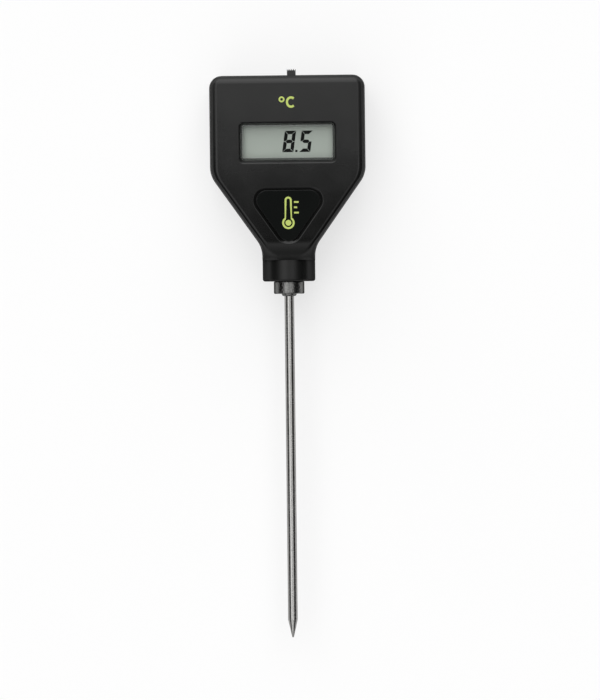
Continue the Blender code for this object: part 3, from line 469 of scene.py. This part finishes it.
def sunk(name, inner, outer, floor, through=None):
    # a sloping recess whose rim rolls over into the face round it
    rings = [[(x, y, through) for x, y in inner]] if through is not None else []
    for share, lift in recess["rim"]:
        ring = []
        for (ix, iy), (ox, oy) in zip(inner, outer):
            x, y = ix + (ox - ix) * share, iy + (oy - iy) * share
            ring.append((x, y, floor + max(faceHeight(y) - floor, recess["leastDepth"]) * lift))
        rings.append(ring)
    rings.append([(x, y, housing["depth"] + past) for x, y, z in rings[-1]])
    return loft(name, rings)


display = {
    "width": 30.2, "height": 11.7, "raise": 0.28, "radius": 1.15, "through": 4.0,
    "recessWidth": 31.3, "recessHeight": 13.4, "recessRadius": 1.6, "recessDepth": 1.2,
}
inlay = {
    "drop": 3.9, "tip": 22.4, "radius": 4.4, "slope": 1.0, "depth": 0.8, "gap": 0.2, "edge": 0.08,
    "finish": {"colour": (0.0042, 0.0050, 0.0046), "roughness": 0.10, "grain": 0.5, "depth": 0.0008,
               "ior": 1.35},
}


def inlayOutline(inset, steps=14):
    taper = housing["taper"]
    lowY = shoulderY - inlay["tip"] + inlay["radius"]
    apex = lowY - inlay["radius"] / math.sin(taper)
    highY = shoulderY - inlay["drop"] - inlay["radius"]
    highX = (highY - apex) * math.tan(taper) - inlay["radius"] / math.cos(taper)
    turns = ((highX, highY, -taper, math.pi / 2), (-highX, highY, math.pi / 2, math.pi + taper),
             (0.0, lowY, math.pi + taper, math.tau - taper))
    radius = inlay["radius"] - inset
    return [(x + radius * math.cos(a), y + radius * math.sin(a))
            for x, y, start, stop in turns for a in spread(start, stop, steps)]


def shellLookPaintedFalloff():  # the colour greyer at the top and blacker below is painted light, the light's falloff down the housing; also duller at the top, smoother below, coarse sides, a duller neck
    material, place = startLook("blackPlastic")
    finish = housing["finish"]
    cloud, grain, speck = mouldTexture(place, finish["grain"])
    height = along(place, "Y")
    # painted light: this share along Y carries the colour from the darker lower tone to the lighter upper
    # tone, a light falloff painted into the colour; it also sets the roughness
    upper = ease(height + finish["cloudShift"] * (cloud - 0.5), taperEnd * mm, housing["top"] * mm)
    light = tint(upper, finish["lower"], finish["upper"])
    dark = tint(upper, shaded(finish["lower"], 0.75), shaded(finish["upper"], 0.8))
    colour = tint(cloud * 0.5 + speck * 0.5, dark, light)
    neckLow, neckHigh = finish["neckBand"]
    neck = 1 - ease(height, (neckTop + neckLow) * mm, (neckTop + neckHigh) * mm)
    side = sideMask(place, *finish["sideBand"])
    roughness = finish["lowerRoughness"] + (finish["upperRoughness"] - finish["lowerRoughness"]) * upper
    roughness = roughness + finish["sideRoughness"] * side + finish["neckRoughness"] * neck
    roughness = roughness + 0.06 * (cloud - 0.5) + 0.06 * (grain - 0.5)
    finishLook(place, colour, roughness, grain + 0.5 * speck, finish["depth"], IOR=finish["ior"])
    return material


blackPlastic = shellLookPaintedFalloff()


def makeFrontShell():
    shell = housingHalf("frontShell", 1)
    face = housing["depth"]
    opening = roundedBox(display["width"], display["height"], display["radius"], display["raise"])
    rim = roundedBox(display["recessWidth"], display["recessHeight"], display["recessRadius"])
    window = sunk("window", opening, rim, face - display["recessDepth"], face - display["through"])
    triangle = sunk("triangle", inlayOutline(inlay["slope"]), inlayOutline(0.0), face - inlay["depth"])
    slot = block("slot", housing["slot"], (0, housing["top"] - housing["slotDrop"], housing["slotHeight"]))
    carve(shell, [window, triangle, slot])
    fitOut(shell, blackPlastic, stands=["front_shell"])


counterbore = {
    "mouth": 2.85, "bore": 2.55, "chamfer": 0.3, "depth": 5.0, "hole": 1.5, "holeDepth": 14.0, "segments": 48,
}


def makeRearCover():
    cover = housingHalf("rearCover", -1)
    mouth, bore, hole = counterbore["mouth"], counterbore["bore"], counterbore["hole"]
    depth, end = counterbore["depth"], counterbore["holeDepth"]
    profile = [(0, -past), (mouth, -past), (mouth, 0.0), (bore, counterbore["chamfer"])]
    profile += [(bore, depth), (hole, depth), (hole, end), (0, end)]
    tools = []
    for number in range(1, 5):
        low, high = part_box(f"cover_screw_{number}")
        middle = (low + high) / 2 / mm
        tools.append(turn("counterbore", profile, counterbore["segments"], onScrew(middle.x, middle.y)))
    carve(cover, tools)
    fitOut(cover, blackPlastic, stands=["rear_cover"])


makeFrontShell()
makeRearCover()
print("housing halves made")


# slide switch knob, ridged for a finger tip

knobLow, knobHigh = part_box("switch_knob")
knob = {
    "width": 2.8, "depth": 3.2, "ridges": 5, "ridgeDepth": 0.5, "headLow": 18.95, "waveSteps": 48,
    "stem": (2.4, 3.4, 2.2), "stemRise": 2.2, "slider": (4.2, 1.45, 2.3), "softEdge": 0.05,
    "finish": {"colour": (0.016, 0.016, 0.016), "roughness": 0.5, "grain": 0.12, "depth": 0.004},
}


def makeKnob():
    middle = (knobLow + knobHigh) / 2 / mm
    low = knobLow.y / mm
    crest = knobHigh.y / mm
    half = knob["width"] / 2
    outline = [(-half, knob["headLow"]), (half, knob["headLow"])]
    for x in spread(half, -half, knob["waveSteps"]):
        wave = 0.5 + 0.5 * math.cos(math.tau * (knob["ridges"] - 1) * (x + half) / knob["width"])
        outline.append((x, crest - knob["ridgeDepth"] * (1 - wave)))
    outline = [(middle.x + x, y) for x, y in outline]
    deep = knob["depth"] / 2
    head = layers("switchKnob", [(outline, middle.z - deep), (outline, middle.z + deep)])
    stem = block("stem", knob["stem"], (middle.x, low + knob["stemRise"], middle.z))
    slider = block("slider", knob["slider"], (middle.x, low + knob["slider"][1] / 2, middle.z))
    carve(head, [stem, slider], "UNION")
    plastic = moulded("knobPlastic", knob["finish"])
    fitOut(head, plastic, "switch_slider", ["switch_knob"], knob["softEdge"], angle=50)


makeKnob()
print("switch knob made")


# display: clear lens, reflective glass behind it, and the figures

lensLow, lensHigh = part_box("display_window")
lens = {
    "flange": 1.2, "gap": 0.06, "bevel": 0.68, "bevelDrop": 0.23, "bevelCurve": 1.1,
    # the bevel colour and bevel alpha are painted shade: a near-opaque grey on the bevel that stands in for
    # its light and shade
    "colours": ((0.78, 0.81, 0.79), (0.86, 0.88, 0.86)), "paintedBevelShade": (0.048, 0.051, 0.049),
    "bevelShadeBand": (0.92, 0.985), "paintedBevelAlpha": 0.87, "smearAlpha": 0.003, "roughness": 0.05, "ior": 1.58,
}
glass = {
    "colour": (0.352, 0.394, 0.352), "fibres": (9000.0, 900.0, 900.0), "roughness": 0.42, "depth": 0.002,
    "ior": 1.4, "softEdge": 0.12,
}
figures = {
    "text": "8.5", "height": 6.85, "width": 3.6, "stroke": 1.1, "gap": 0.08, "lean": math.radians(8.0),
    "left": -1.75, "low": -3.1, "step": 5.4, "thickness": 0.03, "dot": 0.7, "dotGap": 0.55,
    "colours": ((0.0015, 0.002, 0.0018), (0.004, 0.0045, 0.004)), "roughness": 0.5, "ior": 1.05,
}


def clearLook():  # clear on the flat; along the bevel a near-opaque grey, painted shade standing in for the light and shade of a glass bevel
    material, place = startLook("clearLens")
    smear = noise(place, 5.0)
    edge = sideMask(place, *lens["bevelShadeBand"])
    # painted shade: on the bevel the colour turns dark grey and the alpha near-opaque
    colour = tint(edge, tint(smear, *lens["colours"]), lens["paintedBevelShade"])
    roughness = lens["roughness"] + 0.04 * smear + 0.08 * edge
    alpha = lens["smearAlpha"] + lens["smearAlpha"] * smear + lens["paintedBevelAlpha"] * edge
    finishLook(place, colour, roughness, Alpha=alpha, IOR=lens["ior"])
    return material


def glassLook():
    material, place = startLook("displayFilm")
    cloud = noise(place, 7.0)
    fibre = streaks(place, glass["fibres"])
    colour = varied(cloud * 0.5 + fibre * 0.5, glass["colour"], 0.94, 1.06)
    finishLook(place, colour, glass["roughness"] + 0.1 * fibre, fibre, glass["depth"], IOR=glass["ior"])
    return material


def figureLook():
    material, place = startLook("displayInk")
    cloud = noise(place, 1.2)
    colour = tint(cloud, *figures["colours"])
    finishLook(place, colour, figures["roughness"] + 0.1 * cloud, IOR=figures["ior"])
    return material


def segmentShapes():  # the seven strokes of a figure, mitred at their ends
    wide, tall = figures["width"], figures["height"]
    thick, gap = figures["stroke"], figures["gap"]
    half = thick / 2
    middle = tall / 2
    near = thick + gap
    far = wide - thick - gap
    shapes = {
        "top": [(gap, tall), (wide - gap, tall), (far, tall - thick), (near, tall - thick)],
        "bottom": [(gap, 0), (wide - gap, 0), (far, thick), (near, thick)],
        "middle": [(half + gap, middle), (near, middle + half), (far, middle + half),
                   (wide - half - gap, middle), (far, middle - half), (near, middle - half)],
        "upperLeft": [(0, tall - gap), (thick, tall - thick - gap), (thick, middle + half + gap / 2),
                      (half, middle + gap), (0, middle + gap)],
        "lowerLeft": [(0, gap), (thick, near), (thick, middle - half - gap / 2),
                      (half, middle - gap), (0, middle - gap)],
    }
    shapes["upperRight"] = [(wide - x, y) for x, y in shapes["upperLeft"]]
    shapes["lowerRight"] = [(wide - x, y) for x, y in shapes["lowerLeft"]]
    return shapes


def addPlate(bm, outline, low, high):
    addLoft(bm, [[(x, y, low) for x, y in outline], [(x, y, high) for x, y in outline]])


def makeFigures(low):
    shapes = segmentShapes()
    lit = {"8": list(shapes), "5": ["top", "upperLeft", "middle", "lowerRight", "bottom"]}
    bm = bmesh.new()
    left = figures["left"]
    for sign in figures["text"]:
        if sign == ".":
            dot = figures["left"] + figures["width"] + figures["dotGap"]
            size = figures["dot"]
            strokes = [[(dot, 0), (dot + size, 0), (dot + size, size), (dot, size)]]
        else:
            strokes = [[(left + x, y) for x, y in shapes[name]] for name in lit[sign]]
            left += figures["step"]
        for stroke in strokes:
            slanted = [(x + y * math.tan(figures["lean"]), figures["low"] + y) for x, y in stroke]
            addPlate(bm, slanted, low, low + figures["thickness"])
    fitOut(meshObject("displayFigures", bm), figureLook())


def loftPane(wide, tall, radius, low, top):
    levels = [(roundedBox(wide, tall, radius, display["raise"]), low)]
    for t in spread(0, 1, 5):  # the pane's edge rolls off in a wide shallow bevel
        inset = 2 * lens["bevel"] * t
        outline = roundedBox(wide - inset, tall - inset, radius - inset / 2, display["raise"])
        levels.append((outline, top - lens["bevelDrop"] * (1 - t) ** lens["bevelCurve"]))
    return layers("pane", levels)


def makeDisplay():
    low = lensLow.z / mm
    top = lensHigh.z / mm
    wide = display["width"] - 2 * lens["gap"]
    tall = display["height"] - 2 * lens["gap"]
    radius = display["radius"] - lens["gap"]
    span = (lensHigh - lensLow) / mm
    flange = roundedBox(span.x, span.y, display["radius"], (lensHigh.y + lensLow.y) / 2 / mm)
    pane = loftPane(wide, tall, radius, low + lens["flange"] / 2, top)
    body = layers("displayWindow", [(flange, low), (flange, low + lens["flange"])])
    carve(body, [pane], "UNION")
    fitOut(body, clearLook(), stands=["display_window"], angle=50)
    glassLow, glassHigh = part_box("lcd_front_glass")
    plate = block("displayGlass", (glassHigh - glassLow) / mm, (glassHigh + glassLow) / 2 / mm)
    fitOut(plate, glassLook(), stands=["lcd_front_glass"], bevel=glass["softEdge"])
    makeFigures(glassHigh.z / mm)


makeDisplay()
print("display made")


# triangular inlay and the print in lime green

printing = {"colour": (0.50, 0.60, 0.145), "thickness": 0.025, "roughness": 0.5, "depth": 0.004, "ior": 1.4}
gauge = {
    "y": -22.6, "stem": 1.15, "bulb": 2.0, "height": 10.4, "line": 0.62, "beadGap": 0.45, "marks": 3,
    "firstMark": 0.6, "markStep": 1.7, "markGap": 0.7, "markLengths": (1.5, 1.0), "markThick": 0.56,
}
unit = {
    "y": 12.9, "height": 3.7, "stroke": 0.74, "letterX": 1.25, "opening": math.radians(48),
    "squeeze": (0.88, 0.84), "ring": 0.95, "ringX": -1.75, "ringStroke": 0.5,
}


def limeLook():
    material, place = startLook("limePrint")
    screen = noise(place, 0.22, 2.0)
    cloud = noise(place, 3.0)
    colour = varied(screen * 0.6 + cloud * 0.4, printing["colour"], 0.86, 1.12)
    roughness = printing["roughness"] + 0.12 * screen
    finishLook(place, colour, roughness, screen, printing["depth"], IOR=printing["ior"])
    return material


limeInk = limeLook()


def addBand(bm, inner, outer, low, high, closed=True):  # a flat band between two outlines of one length
    rings = [[(*o, low), (*i, low), (*i, high), (*o, high)] for i, o in zip(inner, outer)]
    if closed:
        loops = [[bm.verts.new(point) for point in ring] for ring in rings]
        for lower, upper in zip(loops, loops[1:] + loops[:1]):
            for k in range(4):
                m = (k + 1) % 4
                bm.faces.new((lower[k], lower[m], upper[m], upper[k]))
    else:
        addLoft(bm, rings)


def circle(x, y, radius, start=0.0, stop=math.tau, steps=48):
    return [(x + radius * math.cos(a), y + radius * math.sin(a)) for a in spread(start, stop, steps)]


def makeInlay(low, high):
    inset = inlay["slope"] + inlay["gap"]
    edge = inlay["edge"]
    outline = inlayOutline(inset)
    levels = [(outline, low), (outline, high - edge), (inlayOutline(inset + edge), high)]
    plate = layers("frontInlay", levels)
    fitOut(plate, moulded("inlaySheet", inlay["finish"]), stands=["front_inlay"], angle=60)


def makeGauge(low):
    bm = bmesh.new()
    top = low + printing["thickness"]
    foot = gauge["y"] - gauge["height"] / 2 + gauge["bulb"]
    head = gauge["y"] + gauge["height"] / 2 - gauge["stem"]
    join = math.acos(gauge["stem"] / gauge["bulb"])
    turns = [(0, head, gauge["stem"], 0.0, math.pi),
             (0, foot, gauge["bulb"], math.pi - join, math.tau + join)]
    rings = []
    for thinner in (gauge["line"], 0.0):  # the line round the tube and bulb, first its inside
        ring = []
        for x, y, radius, start, stop in turns:
            ring += circle(x, y, radius - thinner, start, stop, 24)
        rings.append(ring)
    addBand(bm, rings[0], rings[1], low, top)
    addPlate(bm, circle(0, foot, gauge["bulb"] - gauge["line"] - gauge["beadGap"])[:-1], low, top)
    near = gauge["stem"] + gauge["markGap"]
    thick = gauge["markThick"] / 2
    for count in range(gauge["marks"]):
        y = head - gauge["firstMark"] - gauge["markStep"] * count
        far = near + gauge["markLengths"][count % 2]
        addPlate(bm, [(near, y - thick), (far, y - thick), (far, y + thick), (near, y + thick)], low, top)
    fitOut(meshObject("gaugePrint", bm), limeInk)


def makeUnitSign():
    bm = bmesh.new()
    low = housing["depth"] - housing["printRoom"]
    top = low + printing["thickness"]
    half = unit["height"] / 2
    x = unit["letterX"]
    bows = []
    for radius, squeeze in zip((half, half - unit["stroke"]), unit["squeeze"]):
        bow = circle(x, unit["y"], radius, unit["opening"], math.tau - unit["opening"])
        bows.append([(x + squeeze * (px - x), py) for px, py in bow])
    addBand(bm, bows[1], bows[0], low, top, closed=False)
    ringY = unit["y"] + half - unit["ring"]
    hole = circle(unit["ringX"], ringY, unit["ring"] - unit["ringStroke"])[:-1]
    addBand(bm, hole, circle(unit["ringX"], ringY, unit["ring"])[:-1], low, top)
    fitOut(meshObject("unitPrint", bm), limeInk)


inlayLow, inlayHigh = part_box("front_inlay")
makeInlay(inlayLow.z / mm, inlayHigh.z / mm)
makeGauge(inlayHigh.z / mm)
makeUnitSign()
print("inlay and print made")


# collar and probe, turned about one axis

tubeLow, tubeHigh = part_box("probe_tube")
probe = {
    "diameter": 3.05, "wall": 0.35, "blunt": 0.3, "bluntStart": 0.3, "coneShares": (0.5, 0.98),
    "seam": 0.02, "seamChamfer": (0.03, 0.05), "spigotGap": 0.25, "spigotLength": 2.0, "segments": 96,
    "finish": {"colour": (0.43, 0.425, 0.415), "roughness": 0.26, "lines": (60.0, 12000.0, 60.0), "grit": 0.3,
               "depth": 0.0012, "rim": 0.2},
}
collar = {
    "diameter": 9.8, "length": 4.0, "fillet": 0.4, "topFillet": 0.25, "dome": 4.8, "domeHeight": 0.75,
    "shank": 8.0, "shankChamfer": 0.3, "topGap": 0.04, "play": 0.03,
    "finish": {"colour": (0.18, 0.18, 0.176), "roughness": 0.2, "lines": (90.0, 7000.0, 90.0), "grit": 0.42,
               "depth": 0.1, "lineShare": 0.05, "rim": 0.1},
}


def makeProbe():
    outer = probe["diameter"] / 2
    inner = outer - probe["wall"]
    neckEnd = housing["neckEnd"]
    tubeTop = neckEnd - tubeHigh.y / mm
    tubeEnd = neckEnd - tubeLow.y / mm
    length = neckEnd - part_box("probe_tip")[0].y / mm
    steel = drawnMetal("probeSteel", probe["finish"])
    profile = [(inner, tubeTop), (outer, tubeTop), (outer, tubeEnd), (inner, tubeEnd)]
    tube = turn("probeTube", profile, probe["segments"], onProbe, closed=True)
    fitOut(tube, steel, stands=["probe_tube"])
    spigot = inner - probe["spigotGap"]
    spigotTop = tubeEnd - probe["spigotLength"]
    start = tubeEnd + probe["seam"]
    inward, rise = probe["seamChamfer"]
    blunt = probe["blunt"]
    profile = [(0, spigotTop), (spigot, spigotTop), (spigot, start)]
    profile += [(outer - inward, start), (outer, start + rise)]
    for share in probe["coneShares"]:
        profile.append((outer - (outer - blunt) * share, start + rise + (length - blunt - start) * share))
    for a in spread(probe["bluntStart"], math.pi / 2, 6)[:-1]:
        profile.append((blunt * math.cos(a), length - blunt * (1 - math.sin(a))))
    profile.append((0, length))
    tip = turn("probeTip", profile, probe["segments"], onProbe)
    fitOut(tip, steel, stands=["probe_tip"])


def makeCollar():
    bore = probe["diameter"] / 2 + collar["play"]
    rim = collar["diameter"] / 2
    shank = collar["shank"] / 2
    chamfer = collar["shankChamfer"]
    gap = collar["topGap"]
    end = collar["length"]
    dome = collar["dome"] / 2
    shankTop = housing["neckEnd"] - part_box("probe_collar")[1].y / mm
    profile = [(bore, shankTop), (shank - chamfer, shankTop), (shank, shankTop + chamfer), (shank, gap)]
    fillet = collar["topFillet"]
    profile += [(rim - fillet * (1 - math.sin(a)), gap + fillet * (1 - math.cos(a))) for a in quarter(5)]
    fillet = collar["fillet"]
    profile += [(rim - fillet * (1 - math.cos(a)), end - fillet * (1 - math.sin(a))) for a in quarter(8)]
    for a in quarter(10):
        profile.append((bore + (dome - bore) * math.cos(a), end + collar["domeHeight"] * math.sin(a)))
    piece = turn("probeCollar", profile, probe["segments"], onProbe, closed=True)
    fitOut(piece, drawnMetal("collarSteel", collar["finish"]), stands=["probe_collar"])


makeProbe()
makeCollar()
print("probe and collar made")


# cover screws with a cross recess

screw = {
    "diameter": 2.4, "length": 12.0, "head": 4.6, "headHeight": 1.8, "headChamfer": 0.1,
    "crown": ((0.6, 0.0), (0.88, 0.35), (1.0, 0.9)),  # share of the head's radius, height from its face
    "cross": (2.6, 0.55), "crossDepth": 1.0,
    "pitch": 0.8, "threadDepth": 0.3, "threadStart": 0.4, "threadCrest": (0.3, 0.4, 0.7), "plainLength": 2.4,
    "pointLength": 2.0, "segments": 40,
    "finish": {"colour": (0.50, 0.50, 0.48), "roughness": 0.34, "lines": (900.0, 900.0, 300.0), "grit": 0.2,
               "depth": 0.003},
}


def screwProfile(face, end):
    seat = face + screw["headHeight"]
    head = screw["head"] / 2
    chamfer = screw["headChamfer"]
    crest = screw["diameter"] / 2
    core = crest - screw["threadDepth"]
    profile = [(0, face)]
    profile += [(head * share, face + rise) for share, rise in screw["crown"]]
    profile += [(head, seat - chamfer), (head - chamfer, seat), (crest, seat)]
    rise, flat, fall = screw["threadCrest"]
    turns = int((screw["length"] - screw["plainLength"]) / screw["pitch"])
    for count in range(turns):  # thread drawn as rings
        z = seat + screw["threadStart"] + count * screw["pitch"]
        profile += [(core, z), (crest, z + rise), (crest, z + flat), (core, z + fall)]
    return profile + [(core, end - screw["pointLength"]), (0, end)]


def makeScrews():
    steel = drawnMetal("screwSteel", screw["finish"])
    long, thin = screw["cross"]
    deep = 2 * screw["crossDepth"]
    for number in range(1, 5):
        low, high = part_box(f"cover_screw_{number}")
        middle = (low + high) / 2 / mm
        face = low.z / mm
        profile = screwProfile(face, high.z / mm)
        piece = turn(f"coverScrew{number}", profile, screw["segments"], onScrew(middle.x, middle.y))
        sizes = ((long, thin, deep), (thin, long, deep))
        bars = [block("bar", size, (middle.x, middle.y, face)) for size in sizes]
        carve(piece, [carve(bars[0], bars[1:], "UNION")])
        fitOut(piece, steel, stands=[f"cover_screw_{number}"])


makeScrews()
print("screws made")


# inner pieces keep their CAD shape and get their own finish

def layeredRubber():
    material, place = startLook("layeredRubber")
    wave = {"Vector": place, "Scale": 1600.0}
    stripes = place.node("ShaderNodeTexWave", {"bands_direction": "X"}, wave, out=1)
    cloud = noise(place, 2.0)
    colour = tint(stripes > 0.5, (0.42, 0.25, 0.22), (0.05, 0.045, 0.045))
    finishLook(place, colour, 0.6 + 0.15 * cloud, stripes, 0.004)
    return material


def boardResist():
    material, place = startLook("boardResist")
    tracks = {"Vector": place, "Scale": 420.0, "Mortar Size": 0.035}
    cells = place.node("ShaderNodeTexBrick", None, tracks, out=1)
    cloud = noise(place, 5.0)
    weave = streaks(place, (2500.0, 2500.0, 200.0), 1.0)
    green = tint(cloud, (0.012, 0.10, 0.035), (0.018, 0.13, 0.045))
    colour = tint(cells, green, (0.03, 0.20, 0.08))
    finishLook(place, colour, 0.32 + 0.12 * weave, weave + 0.6 * cells, 0.01, IOR=1.5)
    return material


def cellJacket():
    material, place = startLook("cellJacket")
    scuff = noise(place, 1.5)
    band = ease(along(place, "X"), 0.0105, 0.0108)  # a lighter band at the right end
    blue = tint(scuff, (0.020, 0.045, 0.085), (0.030, 0.060, 0.11))
    colour = tint(band, blue, (0.62, 0.60, 0.55))
    finishLook(place, colour, 0.28 + 0.15 * scuff, scuff, 0.002, Metallic=0.6)
    return material


evenLines = (400.0, 400.0, 400.0)
innerMetals = {
    "tinPlate": {"colour": (0.60, 0.60, 0.58), "roughness": 0.3, "lines": (300.0, 6000.0, 300.0),
                 "grit": 0.25, "depth": 0.002},
    "springBrass": {"colour": (0.72, 0.55, 0.27), "roughness": 0.28, "lines": evenLines, "grit": 0.2,
                    "depth": 0.002},
    "drawnCan": {"colour": (0.66, 0.66, 0.66), "roughness": 0.25, "lines": evenLines, "grit": 0.3,
                 "depth": 0.002},
}
innerPlastics = {
    "framePlastic": {"colour": (0.02, 0.02, 0.02), "roughness": 0.5, "grain": 0.2, "depth": 0.004},
    "chipPlastic": {"colour": (0.018, 0.018, 0.019), "roughness": 0.6, "grain": 0.08, "depth": 0.006},
    "brownLaminate": {"colour": (0.15, 0.075, 0.03), "roughness": 0.55, "grain": 0.1, "depth": 0.004},
    "sensorCoat": {"colour": (0.09, 0.05, 0.03), "roughness": 0.3, "grain": 0.4, "depth": 0.01},
    "leadCoat": {"colour": (0.55, 0.55, 0.50), "roughness": 0.45, "grain": 0.15, "depth": 0.003},
}
innerNodes = {
    "tinPlate": ("switch_case", "collar_nut", "collar_washer", "board_screw_1", "board_screw_2",
                 "board_screw_3"),
    "springBrass": ("switch_contact", "switch_pin_1", "switch_pin_2", "switch_pin_3", "battery_contact",
                    "battery_spring"),
    "drawnCan": ("clock_crystal", "buffer_capacitor"),
    "framePlastic": ("lcd_frame",), "chipPlastic": ("processor_chip",), "brownLaminate": ("switch_base",),
    "sensorCoat": ("thermistor",), "leadCoat": ("sensor_lead_1", "sensor_lead_2", "lead_sleeve"),
    "layeredRubber": ("zebra_strip_upper", "zebra_strip_lower"), "boardResist": ("circuit_board",),
    "cellJacket": ("battery",), "rearFilm": ("lcd_rear_glass",),
}


def finishInner():
    looks = {name: drawnMetal(name, recipe) for name, recipe in innerMetals.items()}
    looks.update({name: moulded(name, recipe) for name, recipe in innerPlastics.items()})
    looks["layeredRubber"] = layeredRubber()
    looks["boardResist"] = boardResist()
    looks["cellJacket"] = cellJacket()
    looks["rearFilm"] = glassLook()
    for finish, names in innerNodes.items():
        for name in names:
            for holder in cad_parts[name].material_slots:
                holder.material = looks[finish]


finishInner()
print("inner pieces finished")


# stage: pale floor, soft light from above with a gap for the camera, camera straight overhead

stage = {
    "floorSize": 8.0, "floorDrop": 0.05, "floorColour": (0.965, 0.965, 0.965), "glow": 0.66,
    "level": 1.61, "roomLevel": 0.03, "left": (-0.76, -0.44), "right": (0.28, 0.62), "near": (-1.25, -0.88),
    "low": (-0.05, 0.15), "gap": (0.03, 0.115), "gapShift": 0.14, "gapStretch": 3.0, "gapShare": 0.97,
    "lean": (-0.25, 0.8),  # more light from the left and from the far end
}
view = {
    "middle": (3.25, -66.6), "distance": 5.0, "tall": 0.2249, "level": parting, "roll": math.radians(-0.65),
    "clipEnd": 50.0,
}


def seenRays(place):
    rays = ("Camera", "Glossy", "Transmission")
    seen = [place.node("ShaderNodeLightPath", out=f"Is {kind} Ray") for kind in rays]
    return seen[0] + seen[1] + seen[2]


def makeFloor():
    bm = bmesh.new()
    half = stage["floorSize"] / 2
    for x, y in ((-half, -half), (half, -half), (half, half), (-half, half)):
        bm.verts.new((x, y, 0.0))
    bm.faces.new(bm.verts)
    mesh = bpy.data.meshes.new("floor")
    bm.to_mesh(mesh)
    bm.free()
    floor = bpy.data.objects.new("floor", mesh)
    floor.location.z = -stage["floorDrop"] * mm
    bpy.context.scene.collection.objects.link(floor)
    material, place = startLook("paleFloor")
    paper = noise(place, 30.0)
    colour = varied(paper, stage["floorColour"], 0.995, 1.005)
    matt = place.node("ShaderNodeBsdfDiffuse", None, {"Color": colour})
    white = place.node("ShaderNodeEmission", None, {"Strength": 1.0})
    seen = seenRays(place) * stage["glow"]
    mixed = place.node("ShaderNodeMixShader", None, {0: seen, 1: matt, 2: white})
    place.node("ShaderNodeOutputMaterial", None, {"Surface": mixed})
    mesh.materials.append(material)


def makeLight():
    world = bpy.data.worlds.new("studio")
    bpy.context.scene.world = world
    world.use_nodes = True
    world.node_tree.nodes.clear()
    way = Wire(world.node_tree).node("ShaderNodeTexCoord", out="Generated")
    x, y, z = (along(way, axis) for axis in "XYZ")
    box = ease(x, *stage["left"]) * (1 - ease(x, *stage["right"]))
    box = box * ease(y, *stage["near"]) * ease(z, *stage["low"])
    nearer = y + stage["gapShift"]
    gap = 1 - ease(stage["gapStretch"] * (x * x) + nearer * nearer, *stage["gap"])  # left free for the camera
    uneven = 1 + stage["lean"][0] * x + stage["lean"][1] * y
    level = stage["roomLevel"] + stage["level"] * (box * uneven * (1 - stage["gapShare"] * gap))
    light = way.node("ShaderNodeBackground", None, {"Color": (1, 1, 1, 1), "Strength": level})
    way.node("ShaderNodeOutputWorld", None, {"Surface": light})


def makeCamera():
    data = bpy.data.cameras.new("camera")
    data.lens = data.sensor_width * view["distance"] / view["tall"]
    data.clip_end = view["clipEnd"]
    camera = bpy.data.objects.new("camera", data)
    camera.location = (view["middle"][0] * mm, view["middle"][1] * mm, view["distance"] + view["level"] * mm)
    camera.rotation_euler = (0, 0, view["roll"])
    bpy.context.scene.collection.objects.link(camera)
    bpy.context.scene.camera = camera


makeFloor()
makeLight()
makeCamera()
bpy.context.scene.view_settings.view_transform = "Standard"
print("stage set")
